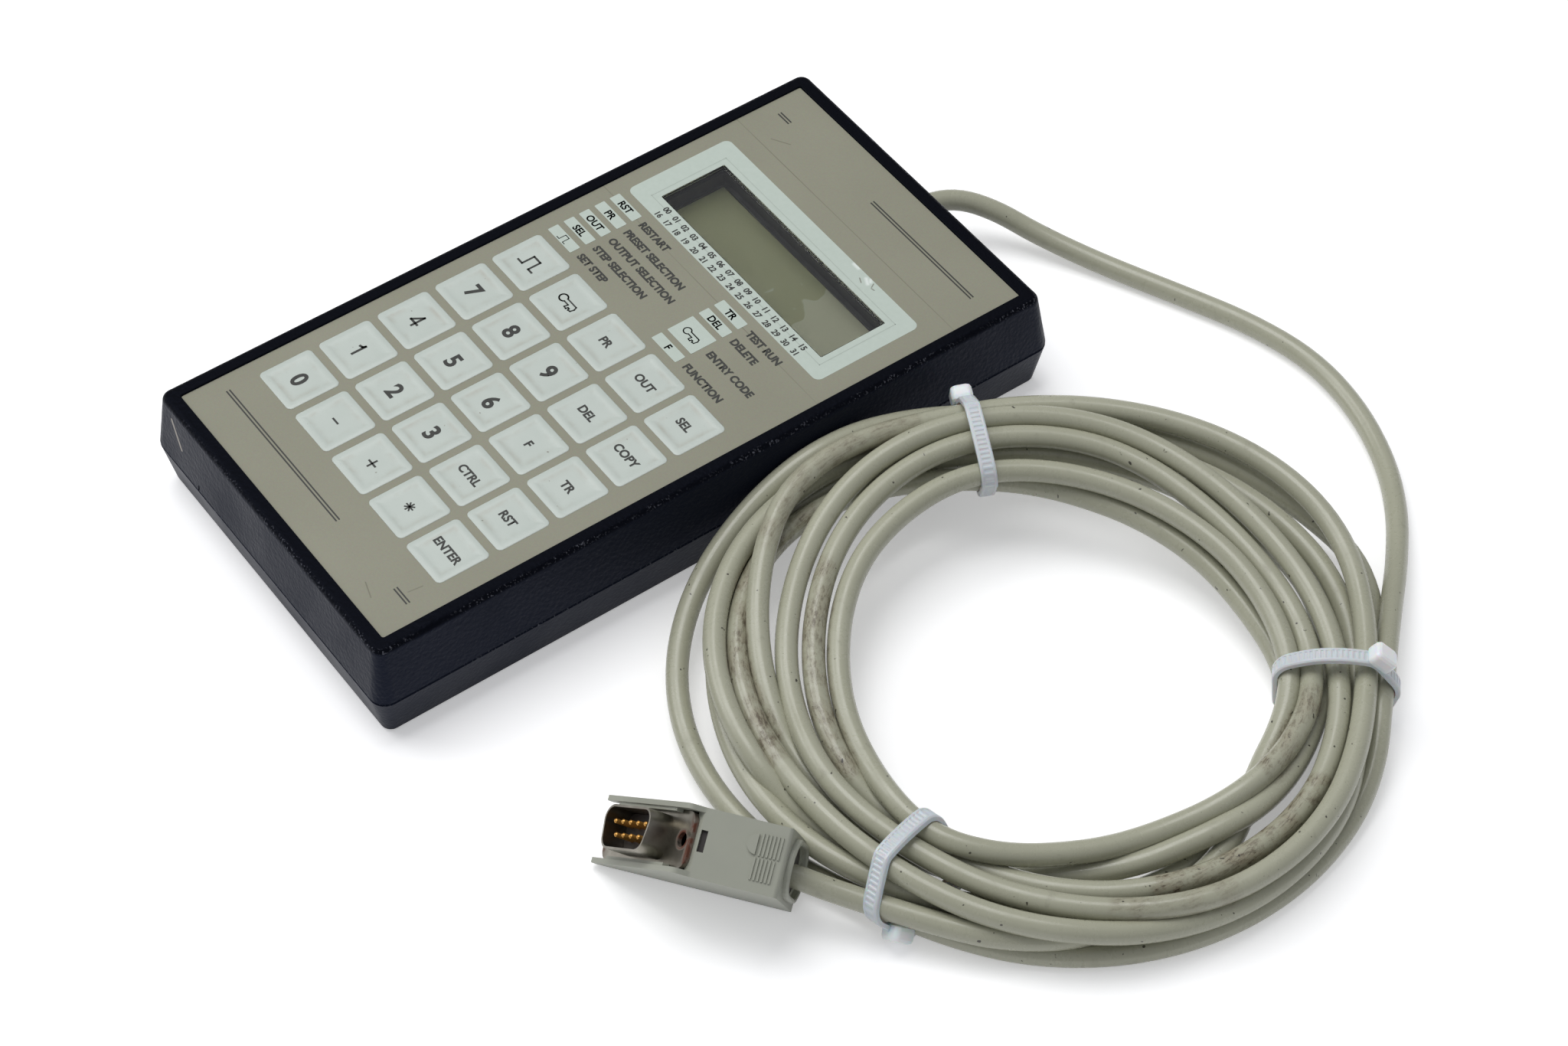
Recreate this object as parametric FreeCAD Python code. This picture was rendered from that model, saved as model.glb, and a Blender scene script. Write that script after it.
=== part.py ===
import FreeCAD, Part
import math
import os

# Handheld programming terminal: a two-part case with a membrane front, and a tied coil of data cable
# that ends in a nine-way plug. Millimetres, +Z up. The origin is under the middle of the case,
# +X is its right side and +Y points to the end where the cable leaves.

V = FreeCAD.Vector
UP = V(0, 0, 1)
ALONG = V(0, 1, 0)

# Case: the widest outline is at the parting line, and both shells lean in from there.
case_width = 95.4
case_length = 179.2
case_height = 27.0
parting_height = 12.0
top_lean = 2.2
base_lean = 2.3
corner_radius = 3.8
corner_taper = 0.6
rim_round = 1.5
base_round = 1.2
wall = 2.2
floor = 2.2
front_plate = 2.2
parting_groove = 0.35
lip_width = 1.0
lip_height = 1.3
fit = 0.1
pry_notch_x = -27.7
pry_notch_width = 0.5
pry_notch_height = 1.8

# Case screws, driven from below into posts of the top shell.
post_inset_x = 8.4
post_inset_y = 9.2
post_radius = 4.0
post_gap = 0.1
screw_radius = 1.5
screw_head_radius = 2.8
screw_head_height = 2.0
screw_sink = 5.0
screw_length = 15.0
screw_slot_width = 0.8
screw_slot_share = 0.45

# Front film and the layers under it, set in a recess below the rim.
rim_above_film = 0.5
rim_side = 3.5
rim_end = 3.6
film_corner = 0.4
film_thickness = 0.3
spacer_thickness = 1.0
circuit_thickness = 0.3
layer_margin = 0.6
recess_clearance = 0.2

# Keys: an embossed ridge round a flat middle, five rows of five.
key_names = [
    ["zero", "minus", "plus", "star", "enter"],
    ["one", "two", "three", "control", "reset"],
    ["four", "five", "six", "function", "time"],
    ["seven", "eight", "nine", "delete", "copy"],
    ["pulse", "lock", "page", "output", "step"],
]
key_web = 1.94
key_corner = 1.2
key_left_margin = 10.85
key_right_margin = 12.19
key_bottom_margin = 23.7
key_below_film = 0.2
key_ridge_height = 0.28
key_ridge_width = 1.2
key_slope = 0.25
key_gap = 0.15
key_well_gap = 0.4
dome_radius = 5.0
dome_height = 0.35
dome_crown = 3.0
dome_sheet = 0.12
dome_foot = 0.5

# Display: a window in the film, a gasket, and a module with bezel, glass and board behind it.
window_width = 62.4
window_height = 17.7
window_corner = 0.3
window_x = -0.1
window_top_margin = 38.2
window_ledge = 1.6
aperture_margin = 0.6
gasket_side = 4.3
gasket_end = 3.65
glass_depth = 7.3
bezel_lip = 0.5
bezel_sheet = 0.8
bezel_height = 6.0
view_side = 0.3
view_end = 0.55
glass_thickness = 2.4
display_board_side = 4.4
display_board_end = 3.4
board_thickness = 1.6
display_post_radius = 2.2
display_hole_inset_x = 2.0
display_hole_inset_y = 2.4

# Main board on standoffs of the bottom shell, with what it carries.
board_side_room = 7.7
board_front_room = 15.1
board_rear_room = 22.1
main_board_lift = 2.8
standoff_inset = 4.0
standoff_radius = 2.8
small_screw_radius = 1.0
small_screw_head_radius = 1.9
small_screw_head_height = 1.4
small_screw_length = 4.2
chip_width = 13.6
small_chip_width = 6.4
chip_height = 3.6
chip_lift = 0.6
chip_mark_radius = 1.0
chip_end_room = 8.0
chip_row_gap = 7.5
chip_column = 20.0
can_radius = 2.6
can_height = 5.2
can_spacing = 7.0
crystal_length = 11.0
crystal_width = 4.6
crystal_height = 3.4
pin_pitch = 2.54
pin_width = 0.5
header_height = 7.0
header_depth = 5.0
tail_slot_width = 22.0
tail_slot_length = 2.4
tail_slot_room = 11.6
tail_thickness = 0.3
tail_width = 20.0
tail_offset = 6.0

# Cable, its bush in the rear wall and the clamp behind it.
cable_radius = 2.5
cable_x = -5.5
cable_bush_overlap = 5.6
cable_inner_length = 10.0
cable_lead_length = 7.0
bush_bore_gap = 0.15
bush_neck_radius = 3.7
bush_flange_radius = 4.9
bush_flange = 1.4
bush_inner_flange = 1.0
bush_wall_room = 1.1
clamp_length = 6.0
clamp_width = 22.0
clamp_post_spacing = 15.0
clamp_post_radius = 2.6
clamp_ear = 1.6
clamp_bar = 3.6
clamp_hump = 9.0
lead_radius = 0.5
lead_spacing = 1.3

# Route of the cable from the bush to the coil, and from the coil into the plug.
tail_route = [
    (-5.5, 84.0, 12.0),
    (-5.5, 93.0, 12.0),
    (-2.6, 101.0, 11.6),
    (4.0, 107.5, 9.0),
    (13.5, 113.0, 5.2),
    (28.0, 120.5, 2.9),
    (46.0, 129.0, 2.7),
    (63.0, 136.5, 2.7),
    (80.0, 140.5, 2.7),
    (97.0, 139.0, 2.7),
    (113.0, 133.5, 2.8),
    (126.0, 125.5, 3.4),
    (138.0, 114.5, 5.0),
    (149.0, 102.5, 7.3),
    (159.0, 91.0, 9.0),
    (166.5, 80.0, 9.0),
]
lead_route = [
    (144.2, -34.8, 8.2),
    (139.5, -38.2, 9.4),
    (131.8, -44.2, 12.0),
    (124.0, -50.2, 13.0),
]

# Coil: a ring that leans on the case, given by its inner and outer radius, half height and rise at
# each angle round it.
coil_centre = (119.4, 29.6, 12.4)
coil_tilt = 6.9
coil_high_side = 172.0
coil_sections = [
    (-172, 43.3, 72.0, 4.3, 0.0),
    (-142, 41.0, 74.5, 4.4, -0.6),
    (-118, 40.5, 76.5, 4.8, -1.5),
    (-100, 41.2, 72.5, 4.8, -1.5),
    (-84, 43.0, 63.5, 4.6, -1.0),
    (-66, 45.0, 69.0, 5.0, 0.0),
    (-35, 43.0, 69.8, 4.6, 0.4),
    (0, 43.5, 72.8, 4.4, 0.4),
    (28, 48.5, 75.0, 4.6, 0.2),
    (53, 50.5, 75.0, 5.0, 0.0),
    (80, 46.0, 78.0, 4.6, -1.0),
    (105, 42.0, 76.0, 4.4, 0.0),
    (132, 41.8, 71.0, 4.6, 0.0),
    (159, 45.2, 68.0, 5.0, 0.0),
]
oval_points = 12
coil_steps = 40
tie_angles = {"tie_bottom": -66, "tie_right": 53, "tie_top": 159}
tie_width = 3.6
tie_strap = 1.1
tie_gap = 0.5
tie_head_depth = 4.4
tie_head_width = 5.2
tie_head_height = 6.4

# Plug: a hood whose face is cut at 45 degrees, turned and rolled as it lies against the coil.
plug_x = 116.47
plug_y = -55.93
plug_floor_gap = 0.3
plug_yaw = 37.4
plug_roll = 28.3
hood_top_length = 19.9
hood_height = 21.8
hood_thickness = 14.4
hood_wall = 1.5
hood_cheek = 1.1
hood_cheek_reach = 2.2
hood_corner = 1.6
hood_tip_corner = 1.0
hood_rear_length = 6.5
hood_bore_radius = 5.2
hood_slot_x = 1.75
hood_slot_width = 1.4
hood_slot_length = 4.5
hood_slot_shift = 0.4
hood_slot_depth = 0.9
hood_ledge_reach = 1.7
hood_ledge_thickness = 0.7
hood_ledge_length = 21.0
grip_rib_count = 6
grip_rib_pitch = 0.8
grip_rib_width = 0.4
grip_rib_height = 0.3
grip_start = 14.3
grip_lower_shift = -0.6
grip_half_length = 4.6
grip_seam = 0.4
latch_radius = 2.1
latch_height = 0.5
hood_clamp_length = 4.0
shell_flange_length = 30.8
shell_flange_width = 12.0
shell_flange_thickness = 1.0
shell_hole_radius = 1.55
shell_hole_spacing = 25.0
shell_inner_length = 16.9
shell_inner_width = 8.4
shell_slant = 10.0
shell_corner = 2.4
shell_sheet = 0.5
shell_height = 5.9
insulator_above = 0.6
insulator_below = 5.0
plug_pin_radius = 0.5
plug_pin_above = 5.2
plug_pin_below = 7.0
plug_pin_pitch = 2.77
plug_row_spacing = 2.84

# Places and levels worked out from the sizes above.
rear_wall_y = case_length / 2
film_width = case_width - 2 * (top_lean + rim_side)
film_length = case_length - 2 * (top_lean + rim_end)
key_columns = len(key_names[0])
key_pitch = (film_width - key_left_margin - key_right_margin) / (key_columns - 1)
key_size = key_pitch - key_web
gasket_width = window_width + 2 * gasket_side
gasket_length = window_height + 2 * gasket_end
bezel_width = gasket_width + 2 * fit
bezel_length = gasket_length + 2 * fit
view_width = window_width - 2 * view_side
view_length = window_height - 2 * view_end
display_board_width = bezel_width + 2 * display_board_side
display_board_length = bezel_length + 2 * display_board_end
display_hole_x = display_board_width / 2 - display_hole_inset_x
display_hole_y = display_board_length / 2 - display_hole_inset_y
first_key_x = -film_width / 2 + key_left_margin
first_key_y = -film_length / 2 + key_bottom_margin
window_y = film_length / 2 - window_top_margin
tail_slot_y = window_y - display_board_length / 2 - tail_slot_room
main_board_width = case_width - 2 * board_side_room
main_board_length = case_length - board_front_room - board_rear_room
main_board_y = (board_front_room - board_rear_room) / 2
main_board_front = main_board_y - main_board_length / 2
cable_outer_start_y = rear_wall_y - cable_bush_overlap
cable_inner_start_y = cable_outer_start_y - cable_inner_length
cable_header_y = cable_inner_start_y - cable_lead_length
clamp_y = cable_outer_start_y - cable_inner_length / 2
film_top = case_height - rim_above_film
spacer_top = film_top - film_thickness
circuit_top = spacer_top - spacer_thickness
recess_floor = circuit_top - circuit_thickness
plate_bottom = recess_floor - front_plate
glass_top = film_top - glass_depth
bezel_top = glass_top + fit + bezel_lip
bezel_bottom = bezel_top - bezel_height
display_board_bottom = bezel_bottom - board_thickness
main_board_bottom = floor + main_board_lift
main_board_top = main_board_bottom + board_thickness
post_x = case_width / 2 - post_inset_x
post_y = case_length / 2 - post_inset_y
post_places = [(sx * post_x, sy * post_y) for sx in (-1, 1) for sy in (-1, 1)]
standoff_x = main_board_width / 2 - standoff_inset
standoff_y = main_board_length / 2 - standoff_inset
standoff_places = [(sx * standoff_x, main_board_y + sy * standoff_y) for sx in (-1, 1) for sy in (-1, 1)]
display_posts = [(window_x + sx * display_hole_x, window_y + sy * display_hole_y)
                 for sx in (-1, 1) for sy in (-1, 1)]
clamp_posts = [(cable_x + s * clamp_post_spacing / 2, clamp_y) for s in (-1, 1)]
clamp_seat = parting_height + 0.5
screw_seat = screw_sink


def rounded_wire(width, length, radius, z, x=0.0, y=0.0):
    """Rectangle with round corners at height z."""
    w = width / 2 - radius
    h = length / 2 - radius
    edges = []
    centres = [(w, h, 0), (-w, h, 90), (-w, -h, 180), (w, -h, 270)]
    ends = []
    for cx, cy, turn in centres:
        points = []
        for angle in (turn, turn + 45, turn + 90):
            a = math.radians(angle)
            points.append(V(x + cx + radius * math.cos(a), y + cy + radius * math.sin(a), z))
        ends.append(points)
    for k in range(4):
        first, middle, last = ends[k]
        edges.append(Part.Arc(first, middle, last).toShape())
        edges.append(Part.makeLine(last, ends[(k + 1) % 4][0]))
    return Part.Wire(edges)


def slab(width, length, radius, bottom, top, x=0.0, y=0.0):
    """Flat plate with round corners."""
    face = Part.Face(rounded_wire(width, length, radius, bottom, x, y))
    return face.extrude(V(0, 0, top - bottom))


def post(x, y, radius, bottom, top):
    return Part.makeCylinder(radius, top - bottom, V(x, y, bottom), UP)


def box(width, length, bottom, top, x=0.0, y=0.0):
    return Part.makeBox(width, length, top - bottom, V(x - width / 2, y - length / 2, bottom))


def lean_at(z):
    """How far the case's outer wall lies inside its widest outline at height z."""
    if z < parting_height:
        return base_lean * (1 - z / parting_height)
    return top_lean * (z - parting_height) / (case_height - parting_height)


def case_block(levels):
    """Solid through case outlines, each given as its inset from the widest outline and its height."""
    wires = []
    for inset, z in levels:
        radius = max(corner_radius - corner_taper * inset, 0.5)
        wires.append(rounded_wire(case_width - 2 * inset, case_length - 2 * inset, radius, z))
    return Part.makeLoft(wires, True, True)


def round_edges_at(shape, z, radius):
    edges = []
    for edge in shape.Edges:
        box_of_edge = edge.BoundBox
        if abs(box_of_edge.ZMin - z) < 1e-4 and abs(box_of_edge.ZMax - z) < 1e-4:
            edges.append(edge)
    return shape.makeFillet(radius, edges)


def key_places():
    places = []
    for row, names in enumerate(key_names):
        for column, name in enumerate(names):
            places.append((name, first_key_x + column * key_pitch, first_key_y + row * key_pitch))
    return places


def cable_hole():
    """Bore for the bush's neck through the rear wall, half in each shell."""
    start = V(cable_x, rear_wall_y - 3 * wall, parting_height)
    return Part.makeCylinder(bush_neck_radius + fit, 5 * wall, start, ALONG)


def top_shell():
    groove_top = parting_height + parting_groove
    outer = case_block([(parting_groove, parting_height), (lean_at(groove_top), groove_top),
                        (top_lean, case_height)])
    shell = round_edges_at(outer, case_height, rim_round)
    cavity = case_block([(wall, parting_height), (lean_at(plate_bottom) + wall, plate_bottom)])
    lip_room = wall - lip_width - fit
    lip_top = parting_height + lip_height + fit
    groove = case_block([(lip_room, parting_height), (lip_room, lip_top)])
    recess = slab(film_width + 2 * recess_clearance, film_length + 2 * recess_clearance,
                  film_corner + recess_clearance, recess_floor, case_height)
    aperture = slab(window_width + 2 * aperture_margin, window_height + 2 * aperture_margin, window_corner,
                    plate_bottom, recess_floor, window_x, window_y)
    tail_slot = box(tail_slot_width, tail_slot_length, plate_bottom, recess_floor, 0, tail_slot_y)
    notch = Part.makeBox(pry_notch_width, wall, pry_notch_height,
                         V(pry_notch_x - pry_notch_width / 2, -case_length / 2 - wall / 2, parting_height))
    shell = shell.cut([cavity, groove, recess, aperture, tail_slot, notch, cable_hole()])
    posts = [post(x, y, post_radius, parting_height + post_gap, plate_bottom) for x, y in post_places]
    board_top = display_board_bottom + board_thickness
    posts += [post(x, y, display_post_radius, board_top, plate_bottom) for x, y in display_posts]
    shell = shell.fuse(posts)
    pilots = [post(x, y, screw_radius + fit, parting_height, screw_seat + screw_length + 1)
              for x, y in post_places]
    pilots += [post(x, y, small_screw_radius + fit, board_top, board_top + small_screw_length)
               for x, y in display_posts]
    return shell.cut(pilots).removeSplitter()


def bottom_shell():
    groove_bottom = parting_height - parting_groove
    outer = case_block([(base_lean, 0), (lean_at(groove_bottom), groove_bottom),
                        (parting_groove, parting_height)])
    shell = round_edges_at(outer, 0, base_round)
    cavity = case_block([(lean_at(floor) + wall, floor), (wall, parting_height)])
    lip_top = parting_height + lip_height
    lip = case_block([(wall - lip_width, parting_height), (wall - lip_width, lip_top)])
    lip = lip.cut(case_block([(wall, parting_height), (wall, lip_top)]))
    shell = shell.cut(cavity).fuse(lip)
    posts = [post(x, y, post_radius, floor / 2, parting_height) for x, y in post_places]
    posts += [post(x, y, standoff_radius, floor / 2, main_board_bottom) for x, y in standoff_places]
    posts += [post(x, y, clamp_post_radius, floor / 2, clamp_seat) for x, y in clamp_posts]
    cradle = box(4 * cable_radius, clamp_length / 2, floor / 2, parting_height, cable_x, clamp_y)
    shell = shell.fuse(posts + [cradle])
    holes = [post(x, y, screw_radius + fit, 0, parting_height) for x, y in post_places]
    holes += [post(x, y, screw_head_radius + fit, 0, screw_seat) for x, y in post_places]
    holes += [post(x, y, small_screw_radius + fit, floor, main_board_bottom) for x, y in standoff_places]
    holes += [post(x, y, small_screw_radius + fit, floor, clamp_seat) for x, y in clamp_posts]
    bed = Part.makeCylinder(cable_radius, clamp_length, V(cable_x, clamp_y - clamp_length / 2, parting_height),
                            ALONG)
    return shell.cut(holes + [bed, cable_hole()]).removeSplitter()


def screw(x, y, seat, radius, head_radius, head_height, length):
    """Slotted pan-head screw that points up from its seat."""
    body = post(x, y, head_radius, seat - head_height, seat).fuse(post(x, y, radius, seat, seat + length))
    slot_depth = head_height * screw_slot_share
    low = seat - head_height
    return body.cut(box(3 * head_radius, screw_slot_width, low, low + slot_depth, x, y))


def case_screws():
    return [screw(x, y, screw_seat, screw_radius, screw_head_radius, screw_head_height, screw_length)
            for x, y in post_places]


def small_screw(x, y, seat, down):
    body = screw(0, 0, 0, small_screw_radius, small_screw_head_radius, small_screw_head_height,
                 small_screw_length)
    if down:
        body.rotate(V(0, 0, 0), V(1, 0, 0), 180)
    body.translate(V(x, y, seat))
    return body


def board_screws():
    """Screws of the main board and of the cable clamp, all alike, driven from above."""
    seats = [(x, y, main_board_top) for x, y in standoff_places]
    seats += [(x, y, clamp_seat + clamp_ear) for x, y in clamp_posts]
    return [small_screw(x, y, z, True) for x, y, z in seats]


def display_screws():
    return [small_screw(x, y, display_board_bottom, False) for x, y in display_posts]


def front_film():
    film = slab(film_width, film_length, film_corner, spacer_top, film_top)
    openings = [slab(key_size + 2 * key_gap, key_size + 2 * key_gap, key_corner + key_gap, spacer_top, film_top,
                     x, y) for _, x, y in key_places()]
    openings.append(slab(window_width, window_height, window_corner, spacer_top, film_top, window_x, window_y))
    return film.cut(openings)


def spacer_layer():
    width = film_width - 2 * layer_margin
    length = film_length - 2 * layer_margin
    well = key_size + 2 * key_well_gap
    layer = slab(width, length, film_corner, circuit_top, spacer_top)
    openings = [box(well, well, circuit_top, spacer_top, x, y) for _, x, y in key_places()]
    openings.append(slab(window_width + 2 * window_ledge + 2 * fit, window_height + 2 * window_ledge + 2 * fit,
                         window_corner + window_ledge, circuit_top, spacer_top, window_x, window_y))
    return layer.cut(openings)


def circuit_layer():
    width = film_width - 2 * layer_margin
    length = film_length - 2 * layer_margin
    layer = slab(width, length, film_corner, recess_floor, circuit_top)
    opening = slab(window_width, window_height, window_corner, recess_floor, circuit_top, window_x, window_y)
    return layer.cut(opening)


def display_window():
    """Clear sheet that fills the film's cut-out and rests on the circuit layer all round it."""
    step = slab(window_width - 2 * fit, window_height - 2 * fit, window_corner, spacer_top, film_top,
                window_x, window_y)
    base = slab(window_width + 2 * window_ledge, window_height + 2 * window_ledge,
                window_corner + window_ledge, circuit_top, spacer_top, window_x, window_y)
    return base.fuse(step).removeSplitter()


def key(x, y):
    """Embossed key: a ridge with sloped sides round a flat middle."""
    bottom = spacer_top - key_below_film
    top = film_top + key_ridge_height
    crest = key_size - 2 * key_slope
    middle = key_size - 2 * key_ridge_width
    sides = [(key_size, key_corner, bottom), (key_size, key_corner, top - key_slope),
             (crest, key_corner - key_slope, top)]
    body = Part.makeLoft([rounded_wire(s, s, r, z, x, y) for s, r, z in sides], True, True)
    dish = [(middle - 2 * key_slope, key_corner / 2, film_top), (middle, key_corner / 2 + key_slope, top)]
    return body.cut(Part.makeLoft([rounded_wire(s, s, r, z, x, y) for s, r, z in dish], True, True))


def eight_sided(radius, z, x, y):
    points = []
    for k in range(9):
        a = math.radians(22.5 + 45 * k)
        points.append(V(x + radius * math.cos(a), y + radius * math.sin(a), z))
    return Part.makePolygon(points)


def snap_domes():
    """Thin sprung eight-sided caps on the circuit layer, one under each key."""
    domes = []
    for _, x, y in key_places():
        outside = [eight_sided(dome_radius, circuit_top, x, y),
                   eight_sided(dome_crown, circuit_top + dome_height, x, y)]
        inside = [eight_sided(dome_radius - dome_foot, circuit_top, x, y),
                  eight_sided(dome_crown - dome_foot, circuit_top + dome_height - dome_sheet, x, y)]
        domes.append(Part.makeLoft(outside, True, True).cut(Part.makeLoft(inside, True, True)))
    return domes


def keypad_tail():
    """Flat tail that hangs from the circuit layer through the slot and bends to the board's header."""
    half = tail_thickness / 2
    header_top = main_board_top + header_height
    bend_top = plate_bottom - 1.0
    bend_bottom = header_top + 0.5
    far = tail_slot_y
    near = tail_slot_y - tail_offset
    side_a = [V(0, far - half, recess_floor), V(0, far - half, bend_top), V(0, near - half, bend_bottom),
              V(0, near - half, header_top - header_height / 2)]
    side_b = [V(0, p.y + tail_thickness, p.z) for p in reversed(side_a)]
    face = Part.Face(Part.makePolygon(side_a + side_b + [side_a[0]]))
    face.translate(V(-tail_width / 2, 0, 0))
    return face.extrude(V(tail_width, 0, 0))


def display_gasket():
    gasket = slab(gasket_width, gasket_length, window_corner, bezel_top, plate_bottom, window_x, window_y)
    opening = slab(window_width + 2 * aperture_margin, window_height + 2 * aperture_margin, window_corner,
                   bezel_top, plate_bottom, window_x, window_y)
    return gasket.cut(opening)


def display_bezel():
    bezel = slab(bezel_width, bezel_length, window_corner, bezel_bottom, bezel_top, window_x, window_y)
    room = slab(bezel_width - 2 * bezel_sheet, bezel_length - 2 * bezel_sheet, window_corner / 2,
                bezel_bottom, bezel_top - bezel_lip, window_x, window_y)
    view = slab(view_width, view_length, window_corner, bezel_bottom, bezel_top, window_x, window_y)
    return bezel.cut([room, view])


def display_glass():
    width = bezel_width - 2 * bezel_sheet - 4 * fit
    length = bezel_length - 2 * bezel_sheet - 4 * fit
    return slab(width, length, window_corner / 2, glass_top - glass_thickness, glass_top, window_x, window_y)


def display_board():
    top = display_board_bottom + board_thickness
    board = slab(display_board_width, display_board_length, 1.0, display_board_bottom, top, window_x, window_y)
    holes = [post(x, y, small_screw_radius + fit, display_board_bottom, top) for x, y in display_posts]
    return board.cut(holes)


def main_board():
    board = slab(main_board_width, main_board_length, 2.0, main_board_bottom, main_board_top, 0, main_board_y)
    radius = small_screw_radius + fit
    holes = [post(x, y, radius, main_board_bottom, main_board_top) for x, y in standoff_places]
    return board.cut(holes)


def dual_in_line(pins, width, x, y):
    """Chip with a row of legs down each long side and a half-round mark at one end."""
    length = pins / 2 * pin_pitch
    bottom = main_board_top + chip_lift
    body = box(length, width, bottom, bottom + chip_height, x, y)
    body = body.cut(post(x - length / 2, y, chip_mark_radius, bottom + chip_height / 2, bottom + chip_height))
    rows = [box(length - pin_pitch, pin_width, main_board_top, bottom + chip_height / 2, x,
                y + side * (width / 2 + pin_width / 2)) for side in (-1, 1)]
    return body.fuse(rows)


def chips():
    """Processor, two memories and the logic beside them."""
    lower = main_board_front + chip_end_room + chip_width / 2
    middle = lower + chip_width + chip_row_gap
    upper = middle + chip_width + chip_row_gap
    return [
        dual_in_line(40, chip_width, 0, middle),
        dual_in_line(28, chip_width, -chip_column, lower),
        dual_in_line(28, chip_width, chip_column, lower),
        dual_in_line(14, small_chip_width, -chip_column, upper),
        dual_in_line(14, small_chip_width, 0, upper),
        dual_in_line(14, small_chip_width, chip_column, upper),
    ]


def board_parts():
    """Electrolytic cans and the flat crystal can, above the rows of chips."""
    place_y = main_board_front + chip_end_room + 3 * (chip_width + chip_row_gap)
    top = main_board_top + can_height
    cans = [post(-chip_column - k * can_spacing, place_y, can_radius, main_board_top, top) for k in range(2)]
    crystal = slab(crystal_length, crystal_width, crystal_width / 2 - fit, main_board_top,
                   main_board_top + crystal_height, chip_column, place_y)
    return cans + [crystal]


def header_block(width, x, y, slot_width):
    top = main_board_top + header_height
    block = box(width, header_depth, main_board_top, top, x, y)
    return block.cut(box(slot_width, tail_thickness + 2 * fit, top - header_height / 2 - fit, top, x, y))


def headers():
    """Keypad socket, cable header and the pin strip that joins the two boards."""
    keypad = header_block(tail_width + 4, 0, tail_slot_y - tail_offset, tail_width + 2 * fit)
    cable = box(9 * pin_pitch, header_depth, main_board_top, main_board_top + header_height, cable_x,
                cable_header_y - header_depth / 2)
    strip_y = window_y + display_board_length / 2 - 2.5
    strip = box(16 * pin_pitch, pin_pitch, main_board_top, display_board_bottom, window_x, strip_y)
    return [keypad, cable, strip]


def cable_leads():
    """Nine wires from the stripped cable to its header."""
    leads = []
    for column in (-1, 0, 1):
        for level in (-1, 0, 1):
            start = V(cable_x + column * lead_spacing, cable_header_y, parting_height + level * lead_spacing)
            leads.append(Part.makeCylinder(lead_radius, cable_inner_start_y - cable_header_y, start, ALONG))
    return leads


def cable_inner_end():
    start = V(cable_x, cable_inner_start_y, parting_height)
    return Part.makeCylinder(cable_radius, cable_outer_start_y - cable_inner_start_y, start, ALONG)


def cable_clamp():
    """Saddle over the cable, with an ear screwed to a post of the bottom shell at each end."""
    ears = slab(clamp_width, clamp_length, clamp_length / 2 - fit, clamp_seat, clamp_seat + clamp_ear,
                cable_x, clamp_y)
    hump = box(clamp_hump, clamp_length, clamp_seat, clamp_seat + clamp_bar, cable_x, clamp_y)
    start = V(cable_x, clamp_y - clamp_length, parting_height)
    bed = Part.makeCylinder(cable_radius, 2 * clamp_length, start, ALONG)
    holes = [post(x, y, small_screw_radius + fit, clamp_seat, clamp_seat + clamp_ear) for x, y in clamp_posts]
    return ears.fuse(hump).cut(holes + [bed])


def cable_bush():
    """Rubber bush whose neck fills the hole in the rear wall, with a flange on each side of it."""
    bore = cable_radius + bush_bore_gap
    neck_end = rear_wall_y + fit
    neck_start = rear_wall_y - wall - bush_wall_room
    inner_end = neck_start - bush_inner_flange
    outer_end = neck_end + bush_flange
    outline = [V(bore, inner_end, 0), V(bush_flange_radius, inner_end, 0), V(bush_flange_radius, neck_start, 0),
               V(bush_neck_radius, neck_start, 0), V(bush_neck_radius, neck_end, 0),
               V(bush_flange_radius, neck_end, 0), V(bush_flange_radius - 0.6, outer_end, 0),
               V(bore, outer_end, 0), V(bore, inner_end, 0)]
    bush = Part.Face(Part.makePolygon(outline)).revolve(V(0, 0, 0), ALONG, 360)
    bush.translate(V(cable_x, 0, parting_height))
    return bush


def cord_tube(name, route, radius):
    """Round tube along straight runs joined by tangent arcs as large as the runs allow."""
    points = [V(*p) for p in route]
    pieces = []
    bends = []
    length = 0.0
    start = points[0]
    for k in range(1, len(points) - 1):
        run_in = points[k] - points[k - 1]
        run_out = points[k + 1] - points[k]
        trim = 0.45 * min(run_in.Length, run_out.Length)
        turn = run_in.getAngle(run_out)
        bend = trim / math.tan(turn / 2)
        bends.append(round(bend, 1))
        run_in.normalize()
        run_out.normalize()
        arc_start = points[k] - run_in * trim
        inward = run_out - run_in
        inward.normalize()
        middle = points[k] + inward * (bend / math.cos(turn / 2))
        pieces.append(Part.makeCylinder(radius, (arc_start - start).Length, start, run_in))
        disc = Part.Face(Part.Wire([Part.makeCircle(radius, arc_start, run_in)]))
        pieces.append(disc.revolve(middle, run_in.cross(run_out), math.degrees(turn)))
        length += (arc_start - start).Length + bend * turn
        start = points[k] + run_out * trim
    last = points[-1] - start
    pieces.append(Part.makeCylinder(radius, last.Length, start, last))
    length += last.Length
    tube = pieces[0].fuse(pieces[1:]).removeSplitter()
    print(name, "bend radii", bends, "length", round(length, 1), "volume ratio",
          round(tube.Volume / (math.pi * radius ** 2 * length), 4), "solids", len(tube.Solids))
    return tube


def lean_coil(shape):
    """Tips a ring made flat about the origin so that its high side leans on the case."""
    high = math.radians(coil_high_side)
    shape.rotate(V(0, 0, 0), V(math.sin(high), -math.cos(high), 0), coil_tilt)
    shape.translate(V(*coil_centre))
    return shape


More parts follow.
